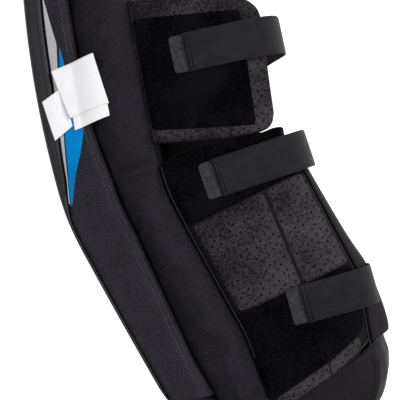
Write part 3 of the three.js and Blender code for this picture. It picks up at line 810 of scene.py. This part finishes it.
def wing_rings(span, deep, thickness, top=None, below=0, short=0):
    """The wing's rings across its depth. Without a top it lies flat on the floor."""
    made = []
    for a in np.concatenate([
        [-0.02, 0, 0.012, 0.03], np.linspace(0.06, 0.9, 34), [0.925, 0.95, 0.97, 0.985, 1],
    ]):
        low, high = (float(v) for v in span(a))
        sink = thickness * float(eased(WING_SECTION, a, 1, 0.01))
        thick = thickness * float(eased(WING_SECTION, a, 2, 0.01))
        if top is None:
            floor, roof = 0.2 + (thickness - thick) * 0.12, thick
        else:
            floor, roof = top - sink - thick, top - sink
        s, z = soft_outline(low - below, high - short, floor, roof, min(7, thick * 0.4), 44)
        made.append(on_leg(s, deep(s, a), z))
    return np.array(made)


# The dimples' pitch and width, then the two distances behind the calf wing's front over which the
# mesh is painted lighter towards the back, a painted light as if lit from that side.
DIMPLE_PITCH = 7.488
DIMPLE = 0.78
PAINTED_LIGHT_FROM, PAINTED_LIGHT_TO = 50, 190


def dimpled(name, dark, light, spot):
    """A spacer mesh: a fine knit with small dark dimples, spread in slightly uneven rows."""
    made, add, into, place = new_finish(name, 0.85, 0.12)
    turned = add("ShaderNodeMapping", {
        "Vector": place, "Rotation": (0, 0, math.radians(-58)), "Scale": (1, 1, 0.02)})
    centres = add("ShaderNodeTexVoronoi", {
        "Vector": turned, "Scale": 1000 / DIMPLE_PITCH, "Randomness": 0.5,
    }, voronoi_dimensions="2D")
    width = DIMPLE / DIMPLE_PITCH
    spots = add("ShaderNodeMapRange", {
        "Value": centres, "From Min": width * 0.8, "From Max": width * 1.75,
        "To Min": 1.0, "To Max": 0.0}, interpolation_type="SMOOTHSTEP")
    grain = noise(add, place, 420.0, 4.0, 0.7)
    tone = mixed(add, grain, 1.6, noise(add, place, 26.0, 4.0))
    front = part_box("calf_wing")[0].x
    # Painted light: the mesh is painted lighter towards the back, as if lit from that side.
    painted_light = add("ShaderNodeMapRange", {
        "Value": add("ShaderNodeSeparateXYZ", {"Vector": place}),
        "From Min": front + PAINTED_LIGHT_FROM / 1000, "From Max": front + PAINTED_LIGHT_TO / 1000,
        "To Min": -0.14, "To Max": 0.1})
    tone = add("ShaderNodeMath", {0: tone, 1: painted_light}, operation="ADD")
    base = two_tone(add, tone, dark, light, 1.0, 1.6)
    into("Base Color", add("ShaderNodeMixRGB", {
        "Fac": spots, "Color1": base, "Color2": shade(spot)}))
    holes = add("ShaderNodeMath", {0: spots, 1: -1.0}, operation="MULTIPLY")
    knit = bump(add, cells(add, place, 900.0), 0.5, 0.4, bump(add, holes, 0.8, 0.9))
    into("Normal", bump(add, grain, 0.5, 0.8, knit))
    return made


# Painted shade: the calf wing's black nylon is painted darker still, so its grooves and front strip
# read as shade.
WING_NYLON_SHADE = woven("wing_nylon_painted_shade", dark=(5, 5, 7), light=(15, 14, 18))
# Painted shade: the inner wings' nylon is near black, for the shade in the gap behind the knee.
SHADE_LINING = woven("lining", dark=(5, 5, 6), light=(13, 12, 15))
DIMPLED = dimpled("dotted_mesh", dark=(24, 21, 25), light=(72, 66, 73), spot=(9, 8, 10))

# Each wing's span, depth, thickness and top, how far it reaches below its span and stops short
# of it above, its finish and its slot
WINGS = (
    ("knee_wing", knee_span, knee_deep, WING, KNEE_TOP, 0, 0, DIMPLED, "dotted_mesh"),
    ("calf_wing", calf_span, calf_deep, WING, CALF_TOP, 0, 0, WING_NYLON_SHADE, "nylon"),
    ("inner_knee_wing", knee_span, knee_deep, KNEE_BLOCK, None, INNER_GAP, 0, SHADE_LINING, "nylon"),
    ("inner_calf_wing", calf_span, calf_deep, WING, None, WRAP_END + CALF_LOW, INNER_GAP,
     SHADE_LINING, "nylon"),
)
wings = {}
for name, span, deep, thickness, top, below, short, finish, slot in WINGS:
    rings = wing_rings(span, deep, thickness, top, below, short)
    wing = closed_mesh(name, rings)
    count, points = rings.shape[:2]
    holds = np.zeros((count, points))
    holds[:2] = 1
    holds[:, points // 2:] = 1
    holds[:, :5] = holds[:, points // 2 - 5:points // 2] = 0.6
    holds[-2:] = 0.6
    plump(wing, holds.ravel(), pressure=1.2, frames=12, most=1.2)
    wings[name] = fit(smoother(wing), finish, slot, name, fill=0.9)

# Piping on the wings
# A thin corded piping closes the seams between the roll and the wings, and another runs along
# the back edge of the calf wing, above the gusset.
WING_PIPING = 0.7
PIPED = woven("piping", dark=(28, 27, 31), light=(48, 46, 52), puckers=0)
for name, low, high, height in (
    ("knee_wing_piping", KNEE_LOW - 1, KNEE_LOW + KNEE_LENGTH, KNEE_TOP - 4.4),
    ("calf_wing_piping", CALF_LOW + 62, CALF_LOW + CALF_LENGTH - 2, CALF_TOP - 2.6),
):
    s = np.linspace(low, high, 110)
    line = on_leg(s, wing_front(s) + 2.4, height)
    fit(bead(name, line, WING_PIPING), PIPED, "nylon")
s = np.linspace(CALF_LOW + 14, CALF_LOW + CALF_LENGTH * 0.71, 110)
line = on_leg(s, calf_deep(s, 0.985), CALF_TOP - WING * 0.42)
fit(bead("calf_back_piping", line, WING_PIPING), PIPED, "nylon")

# Loop patches
# The straps close onto patches of loop tape: a dense pile of fine black loops that swallows the
# light, on a thin backing. One is sewn onto the knee wing and two onto the calf wing.
PATCH = 1.5
PATCH_BORDER = 14
PATCH_CORNER = 6.0
PATCH_BURIED = 0.8
# The mesh strip below the lower patch
STRIP = 17
# Where patches and panels start behind the wing's front edge, as shares of its depth
PATCH_EDGE = 0.008
PANEL_EDGE = 0.055


def loop_pile(name, dark, light):
    """A dense pile of fine loops, in tufts, with next to no shine."""
    made, add, into, place = new_finish(name, 0.95, 0.03)
    tufts = noise(add, place, 420.0, 5.0, 0.8)
    tone = mixed(add, tufts, 2.0, noise(add, place, 24.0, 3.0))
    into("Base Color", two_tone(add, tone, dark, light, 1.25, 1.8))
    loops = bump(add, cells(add, place, 700.0), 0.6, 0.6)
    into("Normal", bump(add, tufts, 0.8, 1.4, loops))
    return made


LOOP = loop_pile("loop_pile", dark=(2, 1, 2), light=(20, 19, 24))


def crowded(count):
    """Shares from 0 to 1 that lie closer together towards both ends."""
    return (1 - np.cos(np.linspace(0, math.pi, count))) / 4 + np.linspace(0, 1, count) / 2


def filled(inside, reach):
    """How full a piece is a distance inside its edge: it swells up over about that reach."""
    return 1 - np.exp(-np.maximum(inside, 0) / reach)


def laid(name, deep, low, high, first, last, thick, height, swell):
    """A sewn-on piece between two lines across a wing. first and last give its edges as shares
    of the wing's depth at p up the piece, and swell is how far it crowns."""
    rings = []
    along = crowded(46)
    for q in crowded(40):
        a = first(along) + (last(along) - first(along)) * q
        width = (last(along) - first(along)) * WING_DEPTH
        side = np.minimum(q, 1 - q) * width
        bottom, top = low(a), high(a)
        cut = corner_cut(PATCH_CORNER, side)
        s = bottom + cut + (top - bottom - 2 * cut) * along
        d = deep(s, a)
        end = np.minimum(s - bottom, top - s)
        rise = thick * filled(np.minimum(side, end), 0.9) + swell * filled(side, 9) * filled(end, 9)
        on = height(on_leg(s, d, KNEE_TOP))
        up = on_leg(s, d, on + 0.15 + rise)
        down = on_leg(s, d, on - PATCH_BURIED)
        rings.append(np.concatenate([up, down[::-1]]))
    return closed_mesh(name, rings)


def upper_line(a):
    """Where the panels end and the upper patch starts, a share a across the calf wing's depth.
    The lower patch ends at lower_line and starts at strip_line."""
    return CALF_LOW + CALF_LENGTH * (0.704 - 0.02 * a)


def lower_line(a):
    return CALF_LOW + CALF_LENGTH * (0.366 - 0.042 * a)


def strip_line(a):
    return calf_span(a)[0] + STRIP


def share(value):
    """An edge that keeps to one share of the wing's depth."""
    return lambda p: np.full(np.shape(p), float(value))


on_knee = resting_on(wings["knee_wing"])
on_calf = resting_on(wings["calf_wing"])
# Each patch's depth line, its lower and upper line, its back edge and what it rests on
PATCHES = (
    ("knee_patch", knee_deep, lambda a: knee_span(np.minimum(a, 0.8))[0] + PATCH_BORDER,
     lambda a: KNEE_LOW + KNEE_LENGTH - PATCH_BORDER * (1 + 0.2 * a), 0.84, on_knee),
    ("calf_patch_upper", calf_deep, upper_line, lambda a: calf_span(a)[1] - 1.4, 0.975, on_calf),
    ("calf_patch_lower", calf_deep, strip_line, lower_line, 0.965, on_calf),
)
for name, deep, low, high, last, height in PATCHES:
    patch = laid(name, deep, low, high, share(PATCH_EDGE), share(last), PATCH, height, swell=0.5)
    fit(smoother(patch), LOOP, "loop_pile", name)

# Calf panels
# Between the two patches the calf wing shows two plump panels of the dimpled mesh with a sewn
# groove between them, and below the lower patch a narrow strip of the same.
PANEL = 1.6
# The groove's place and half its width, and how far it drifts back up its length, as shares of
# the wing's depth
SPLIT = 0.62
SPLIT_DRIFT = 0.07
GROOVE = 0.009
# Each panel's lower and upper line, its front and back edge, and how far it swells
PANELS = (
    ("calf_panel_front", lambda a: lower_line(a) + 0.6, lambda a: upper_line(a) - 0.6,
     share(PANEL_EDGE), lambda p: SPLIT - GROOVE + SPLIT_DRIFT * (p - 0.5), 1.6),
    ("calf_panel_back", lambda a: lower_line(a) + 0.6, lambda a: upper_line(a) - 0.6,
     lambda p: SPLIT + GROOVE + SPLIT_DRIFT * (p - 0.5), share(0.98), 1.6),
    ("calf_panel_lower", lambda a: calf_span(a)[0] + 3.5, lambda a: strip_line(a) - 0.6,
     share(PANEL_EDGE), share(0.9), 0.6),
)
panels = {}
for name, low, high, first, last, swell in PANELS:
    panel = laid(name, calf_deep, low, high, first, last, PANEL, on_calf, swell)
    panels[name] = fit(smoother(panel), DIMPLED, "dotted_mesh", name, fill=0.6)

# Seams in the mesh
# Two short seams close the dimpled mesh where its pieces meet, sewn in a thin black cord: one
# below the knee patch and one in the strip at the foot of the calf wing.
MESH_SEAM = 0.7
for name, deep, share_back, low, high, height in (
    ("knee_border_seam", knee_deep, 0.62, knee_span(0.62)[0] + 1.5,
     knee_span(0.62)[0] + PATCH_BORDER, on_knee),
    ("calf_strip_seam", calf_deep, 0.58, calf_span(0.58)[0] + 4, strip_line(0.58) - 1,
     resting_on(panels["calf_panel_lower"], wings["calf_wing"])),
):
    s = np.linspace(float(low), float(high), 14)
    flat = on_leg(s, deep(s, share_back), KNEE_TOP)
    flat[:, 2] = height(flat) / 1000 + 0.0002
    fit(bead(name, flat, MESH_SEAM), WING_NYLON_SHADE, "nylon")

# Gusset
# Behind the calf wing a smooth nylon gusset turns down towards the leg and closes the side of
# the wing. It ends below in a rounded lip.
GUSSET_DROP = 34
GUSSET_REACH = 15
# Up the gusset, and how far it stands behind the wing there, both as shares
GUSSET_OUT = ((0, 0.8), (0.1, 1), (0.3, 1), (0.5, 0.7), (0.75, 0.6), (1, 0.52))
GUSSET_LIP = 5
GUSSET_TUCK = 12
GUSSET_END = 6
# The lowest that the underside of a wing reaches, with a little room
WING_UNDER = CALF_TOP - WING * 1.11 - 0.6


def gusset_rings():
    low, high = CALF_LOW + CALF_LENGTH * 0.05, float(upper_line(1)) + STRIP
    made = []
    for s in np.concatenate([
        low + GUSSET_END * (1 - np.cos(np.linspace(0.2, math.pi / 2, 5))),
        np.linspace(low + GUSSET_END, high - GUSSET_END, 50)[1:-1],
        high - GUSSET_END * (1 - np.sin(np.linspace(0, math.pi / 2 - 0.2, 5))),
    ]):
        edge = float(calf_deep(s, 1)) + 1.2
        end = min(1, (s - low) / 8, (high - s) / 8)
        pinch = GUSSET_LIP * 0.5 * (1 - math.sqrt(max(0, end)))
        out = GUSSET_REACH * float(eased(GUSSET_OUT, (s - low) / (high - low), 1, 0.05))
        far = max(float(wing_front(s)) + WING_DEPTH + out - pinch, edge + 2)
        tuck = edge - GUSSET_TUCK
        level = [CALF_TOP - GUSSET_DROP * k for k in (0.36, 0.44, 0.62, 0.9, 1.2, 1.42, 1.5)]
        outline = np.array([
            (edge - 1.5, WING_UNDER + 2), (edge - 0.5, level[0]), ((edge + far) / 2, level[1]),
            (far - 0.8, level[2]), (far, level[3]), (far - 0.4, level[4]), (far - 2, level[5]),
            (far - 5, level[6]), (far - 9, level[6]), (tuck + 4, level[5]), (tuck, level[4]),
            (tuck, WING_UNDER),
        ])
        ring = around(outline, 40)
        made.append(on_leg(s, ring[:, 0], ring[:, 1]))
    return made


GUSSET = woven("gusset_cloth", dark=(22, 19, 24), light=(38, 34, 40), thread=0.9, roughness=0.6,
               raised=0.08, puckers=0.8)
fit(smoother(closed_mesh("calf_gusset", gusset_rings())), GUSSET, "smooth_nylon", "calf_gusset",
    fill=0.6)

# Ankle wrap
# A padded nylon flap wraps the heel. It is sewn to the inner wing, comes round behind the ankle
# and tucks under the calf wing, with a soft upright fold where it turns.
WRAP = 7
WRAP_START = 84
WRAP_TUCK = 18
# Where the wrap's cover folds, ahead of its back
WRAP_FOLD = 26
# Down the wrap: how deep it is, as a share of the wings' depth
WRAP_NARROWING = ((0, 1.06), (0.3, 1.04), (0.55, 0.97), (0.8, 0.84), (1, 0.66))


def band(path, thickness):
    """Both faces of a band of even thickness along a path, as two facing rows."""
    path = np.asarray(path, float)
    ahead = np.gradient(path, axis=0)
    ahead /= np.linalg.norm(ahead, axis=1, keepdims=True)
    out = np.stack([-ahead[:, 1], ahead[:, 0]], axis=-1) * np.reshape(thickness, (-1, 1)) / 2
    return np.concatenate([path + out, (path - out)[::-1]])


def quarter(centre, radius, first, last, count):
    """Points round a bend, from one direction to another, in degrees."""
    turn = np.radians(np.linspace(first, last, count))
    return np.stack([centre[0] + radius * np.cos(turn), centre[1] + radius * np.sin(turn)], -1)


def along_path(path, count):
    """A path as that many even steps."""
    path = np.asarray(path, float)
    far = np.concatenate([[0], np.cumsum(np.linalg.norm(np.diff(path, axis=0), axis=1))])
    at = np.linspace(0, far[-1], count)
    return np.stack([np.interp(at, far, path[:, k]) for k in range(path.shape[1])], axis=-1)


def wrap_rings():
    low = WING + 0.3 + WRAP / 2
    high = WING_UNDER - WRAP / 2
    steps = 140
    made = []
    for down in np.concatenate([[0, 0.015, 0.04], np.linspace(0.08, 0.92, 26), [0.96, 0.985, 1]]):
        s = -WRAP_START - (WRAP_END - WRAP_START) * down
        front = float(wing_front(s))
        back = front + WING_DEPTH * float(eased(WRAP_NARROWING, down, 1, 0.05))
        bend = (back - front) * 0.38
        path = np.concatenate([
            [(front + WRAP_TUCK, low)], quarter((back - bend, low + bend), bend, -90, 0, 12),
            quarter((back - bend, high - bend), bend, 0, 90, 12), [(front + WRAP_TUCK, high)],
        ])
        path = along_path(path, steps)
        upper = path[:, 1] > (low + high) / 2
        crease = np.exp(-((path[:, 0] - back + WRAP_FOLD) / 2.6) ** 2)
        ridge = np.exp(-((path[:, 0] - back + WRAP_FOLD - 5) / 3.4) ** 2)
        path[:, 1] += np.where(upper, 1.5 * ridge - 2.2 * crease, 0) * min(1, down * 6)
        end = min(down, 1 - down)
        edge = 0.45 + 0.55 * math.sqrt(min(1, end / 0.06))
        far = np.linspace(0, 1, steps)
        fold = np.exp(-((far - 0.66) / 0.022) ** 2) + 0.6 * np.exp(-((far - 0.6) / 0.03) ** 2)
        thickness = WRAP * edge * (1 - 0.45 * fold * min(1, down * 3 + 0.3))
        ring = band(path, thickness)
        made.append(on_leg(s, ring[:, 0], ring[:, 1]))
    return made


SMOOTH = woven("smooth_cloth", dark=(8, 6, 9), light=(29, 25, 31), thread=0.9, roughness=0.6,
               raised=0.08, puckers=0.8)
fit(smoother(closed_mesh("ankle_wrap", wrap_rings())), SMOOTH, "smooth_nylon", "ankle_wrap",
    fill=0.6)

# Straps
# Three wide straps of black knitted elastic come round the wings' back edge from the inner side
# and close on the patches. The elastic's fine ribs run along the strap.
STRAP_WIDTH = 39
STRAP = 2.0
STRAP_SEWN = 40
STRAP_TUCK = 22
# How high the hook tab lies above the wing, and how thick it is
STRAP_LIFT = 2.6
TAB = 1.6
# Each strap's place up the leg and across its wing, its tilt in degrees, how far its loop stands
# behind the wing, the tops of the outer and the inner wing, and the outer wing's depth line
STRAPS = {
    "knee": (KNEE_LOW + KNEE_LENGTH * 0.604, 0.375, 3, 22, KNEE_TOP, KNEE_BLOCK, knee_deep),
    "calf": (CALF_LOW + CALF_LENGTH * 0.804, 0.385, -10, 22, CALF_TOP, WING, calf_deep),
    "ankle": (CALF_LOW + CALF_LENGTH * 0.286, 0.515, -14.5, 17, CALF_TOP, WING, calf_deep),
}


def on_strap(part, u, v, z):
    """The place in metres of points of a strap: u across it, v back from its band's start."""
    up, across, tilt, _, _, _, deep = STRAPS[part]
    start = on_leg(up, deep(up, across), 0) * 1000
    turned = float(front_line(up)[2]) + math.radians(tilt)
    u, v, z = np.broadcast_arrays(*(np.asarray(value, float) for value in (u, v, z)))
    x = start[0] + v * math.cos(turned) - u * math.sin(turned)
    y = start[1] + v * math.sin(turned) + u * math.cos(turned)
    return np.stack((x, y, z), axis=-1) / 1000


def strap_path(part):
    """The middle of a strap's band: over its patch, round the back and in under the inner wing's
    edge, its bends smoothed."""
    up, across, _, reach, wing_top, inner_top, deep = STRAPS[part]
    top = wing_top + STRAP_LIFT + TAB + 0.3 + STRAP / 2
    back = float(deep(up, 1) - deep(up, across)) + reach
    bend = reach + STRAP * 2
    inside = inner_top + 0.3 + STRAP / 2
    path = along_path(np.concatenate([
        [(0, top), (back - bend - STRAP_WIDTH / 4, top)],
        quarter((back - bend, top - bend), bend, 90, -40, 20),
        [(back - STRAP_TUCK, PAD_WIDTH * 0.6), (back - STRAP_TUCK, PAD_WIDTH * 0.4)],
        quarter((back - bend - STRAP_TUCK, inside + bend), bend, 0, -90, 14),
        [(back - bend - STRAP_TUCK - STRAP_SEWN, inside)],
    ]), 130)
    for _ in range(40):
        path[1:-1] = (path[:-2] + 2 * path[1:-1] + path[2:]) / 4
    return path


def strap_rings(part):
    path = strap_path(part)
    far = np.concatenate([[0], np.cumsum(np.linalg.norm(np.diff(path, axis=0), axis=1))])
    made, flat = [], []
    half = STRAP_WIDTH / 2
    for u in np.concatenate([
        [-half, -half + 0.4], np.linspace(-half + 1.2, half - 1.2, 15), [half - 0.4, half],
    ]):
        edge = math.sqrt(max(0.06, 1 - (abs(u) / half) ** 18))
        cup = 0.5 * (abs(u) / half) ** 2
        ring = band(path, STRAP * 0.8 * edge)
        along = np.concatenate([far, far[::-1]])
        sway = 0.35 * np.sin(along / 23 + u / 9)
        made.append(on_strap(part, u, ring[:, 0], ring[:, 1] - cup + sway * (abs(u) / half)))
        flat.append(np.stack([np.full(len(ring), u), along], -1))
    return made, flat


# The ribs' pitch. The strap's pattern is laid out in units of 100 mm, a tenth of a metre.
RIB = 1.3
RIB_SCALE = WAVE_SCALE / 10 / RIB


def elastic(name, dark, light):
    """A knitted elastic: ribs along the strap, crossed by the fine pull of the knit."""
    made, add, into, place = new_finish(name, 0.6, 0.2, 0.12, (0.9, 0.85, 1))
    flat = add("ShaderNodeUVMap")
    ribs = waves(add, flat, RIB_SCALE, "X", 0.4)
    knit = mixed(add, ribs, 0.8, waves(add, flat, RIB_SCALE / 0.8, "Y", 1.0))
    tone = mixed(add, knit, 0.25, noise(add, place, 120.0, 5.0))
    into("Base Color", two_tone(add, tone, dark, light, 0.45, 1.0))
    into("Normal", bump(add, knit, 0.5, 0.3))
    return made


ELASTIC = elastic("elastic", dark=(2, 2, 4), light=(27, 25, 34))
for part in STRAPS:
    rings, flat = strap_rings(part)
    fit(closed_mesh(f"strap_{part}", rings, flat), ELASTIC, "elastic", f"strap_{part}")

# Hook tabs
# Each strap ends in a tab of stiff hook tape, sewn under the elastic with two rows of stitches,
# its free end showing as a lighter bar with rounded corners.
TAB_LENGTH = 34
TAB_SHOWS = 14
TAB_CORNER = 3.4
# How far the two rows of stitches lie behind the start of the elastic
TAB_ROWS = (1.6, 5.6)


def hook_tape(name, dark, light):
    """A stiff tape of fine hooks."""
    made, add, into, place = new_finish(name, 0.8, 0.2)
    into("Base Color", two_tone(add, noise(add, place, 300.0, 4.0), dark, light))
    into("Normal", bump(add, cells(add, place, 620.0), 0.7, 0.5))
    return made


HOOK = hook_tape("hook_tape", dark=(40, 39, 43), light=(62, 61, 66))
SEAM = woven("dark_thread", dark=(3, 3, 4), light=(10, 10, 12), thread=0.4, raised=0.1, puckers=0)
for part, (_, _, _, _, wing_top, _, _) in STRAPS.items():
    low = wing_top + STRAP_LIFT
    half = STRAP_WIDTH * 0.48
    rings = []
    for v in np.concatenate([
        -TAB_SHOWS + TAB_CORNER * (1 - np.cos(np.linspace(0, math.pi / 2, 7))),
        np.linspace(-TAB_SHOWS + TAB_CORNER, TAB_LENGTH - TAB_SHOWS, 14)[1:],
    ]):
        cut = float(corner_cut(TAB_CORNER, v + TAB_SHOWS))
        u, z = soft_outline(-half + cut, half - cut, low, low + TAB, 0.6, 10)
        rings.append(on_strap(part, u, v, z))
    fit(closed_mesh(f"hook_tab_{part}", rings), HOOK, "hook_tape", f"hook_tab_{part}")
    top = low + TAB + 0.3 + STRAP * 0.9
    for row, v in enumerate(TAB_ROWS):
        u = np.linspace(-STRAP_WIDTH / 2 + 1.5, STRAP_WIDTH / 2 - 1.5, 20)
        line = on_strap(part, u, v, top + 0.05)
        fit(stitches(f"strap_{part}_stitches_{row + 1}", line, pitch=2.6, length=2.2), SEAM,
            "elastic")

# Label
# A white cloth label, folded over itself, is sewn to the side panel behind the knee's front. It
# lies as three leaves over the stripes, the upper one reaching onto the roll. It is bare.
LABEL = 50
LABEL_FOOT = LEG * 0.55
# Each leaf's corners: up the leg and back from the front, as shares of the label's width
LEAVES = {
    "label_left": ((0.4, 0.12), (0.62, 0.56), (-0.2, 0.62), (-0.42, 0.22)),
    "label_under": ((-0.02, 0.66), (0.12, 1.41), (-0.16, 1.4), (-0.3, 0.65)),
    "label_upper": ((0.98, 0.4), (1.2, 1.3), (0.1, 1.44), (-0.04, 0.6)),
}
LIFTS = {"label_left": 1.6, "label_under": 1.2, "label_upper": 3.0}
# The leaf's climb onto the roll: where it starts, as a share of the core's depth, and its size
CLIMB_FROM = 0.82
CLIMB_LENGTH = 22
CLIMB = 7.4


def leaf(name):
    """One leaf of the label, a thin sheet that curls between its corners."""
    corners = np.array(LEAVES[name]) * LABEL
    p = np.linspace(0, 1, 30)
    rings = []
    for q in np.linspace(0, 1, 26):
        first = corners[0] + (corners[3] - corners[0]) * q
        last = corners[1] + (corners[2] - corners[1]) * q
        plan = first[None] + (last - first)[None] * p[:, None]
        s, d = LABEL_FOOT + plan[:, 0], plan[:, 1]
        over = np.clip((d - float(core_back(LABEL_FOOT)) * CLIMB_FROM) / CLIMB_LENGTH, 0, 1)
        on = PAD_WIDTH + 1.6 + CLIMB * over ** 1.3 * (2 - over)
        curl = 1.6 * np.sin(p * 3.4 + q * 1.3) * np.sin(q * 2.6) + 4 * (q - 0.5) ** 2
        z = on + LIFTS[name] * 0.5 + curl
        up = on_leg(s, d, z + 0.25)
        down = on_leg(s, d, z - 0.25)
        rings.append(np.concatenate([up, down[::-1]]))
    return closed_mesh(name, rings)


WHITE = woven("white_cloth", dark=(244, 243, 246), light=(254, 254, 255), thread=0.7,
              roughness=0.8, raised=0.08, puckers=0.25, specular=0.25)
for name in LEAVES:
    piece = fit(leaf(name), WHITE, "white_cloth", name)

# Studio
# The pad lies on a plain near-white floor under three large soft lights. The floor glows a
# little, so that it stays white right up to the pad. The camera hangs straight above.
FLOOR = (250, 250, 250)
FLOOR_GLOW = 0.7


def plain(name, colour):
    """A plain matt surface that glows faintly."""
    made, add, into, place = new_finish(name, 0.9, 0.2)
    into("Base Color", two_tone(add, noise(add, place, 2.0), [c - 1 for c in colour], colour))
    shader = made.node_tree.nodes["Principled BSDF"]
    shader.inputs["Emission Color"].default_value = (1, 1, 1, 1)
    shader.inputs["Emission Strength"].default_value = FLOOR_GLOW
    return made


bpy.ops.mesh.primitive_plane_add(size=8)
floor = bpy.context.object
floor.name = "floor"
floor.data.materials.append(plain("floor", FLOOR))
floor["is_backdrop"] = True


def soft_light(name, place, size, power):
    """A wide lamp at a place, turned to the pad."""
    light = bpy.data.lights.new(name, "AREA")
    light.shape = "RECTANGLE"
    light.size, light.size_y = size
    light.energy = power
    lamp = bpy.data.objects.new(name, light)
    lamp.location = place
    lamp.rotation_euler = (Vector((0, 0, 0.1)) - lamp.location).to_track_quat("-Z", "Y").to_euler()
    bpy.context.scene.collection.objects.link(lamp)


soft_light("key", (1.4, 0.7, 1.5), (1.2, 1.2), 21)
soft_light("overhead", (0.2, 0, 2.4), (2.2, 2.2), 20)
soft_light("left", (-1.5, 0.1, 1.3), (1.2, 1.6), 4)

world = bpy.data.worlds.new("studio")
world.use_nodes = True
world.node_tree.nodes["Background"].inputs["Color"].default_value = (1, 1, 1, 1)
world.node_tree.nodes["Background"].inputs["Strength"].default_value = 0.3
bpy.context.scene.world = world

camera = bpy.data.cameras.new("camera")
camera.sensor_width = 36
camera.lens = 76.5
camera.clip_start = 0.01
eye = bpy.data.objects.new("camera", camera)
eye.location = (ANKLE_X / 1000 + 0.043, ANKLE_Y / 1000 + 0.186, 1.095)
bpy.context.scene.collection.objects.link(eye)
bpy.context.scene.camera = eye

bpy.context.scene.view_settings.view_transform = "Standard"

low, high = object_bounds()
{"cad": [list(cad_low), list(cad_high)], "visual": [list(low), list(high)]}
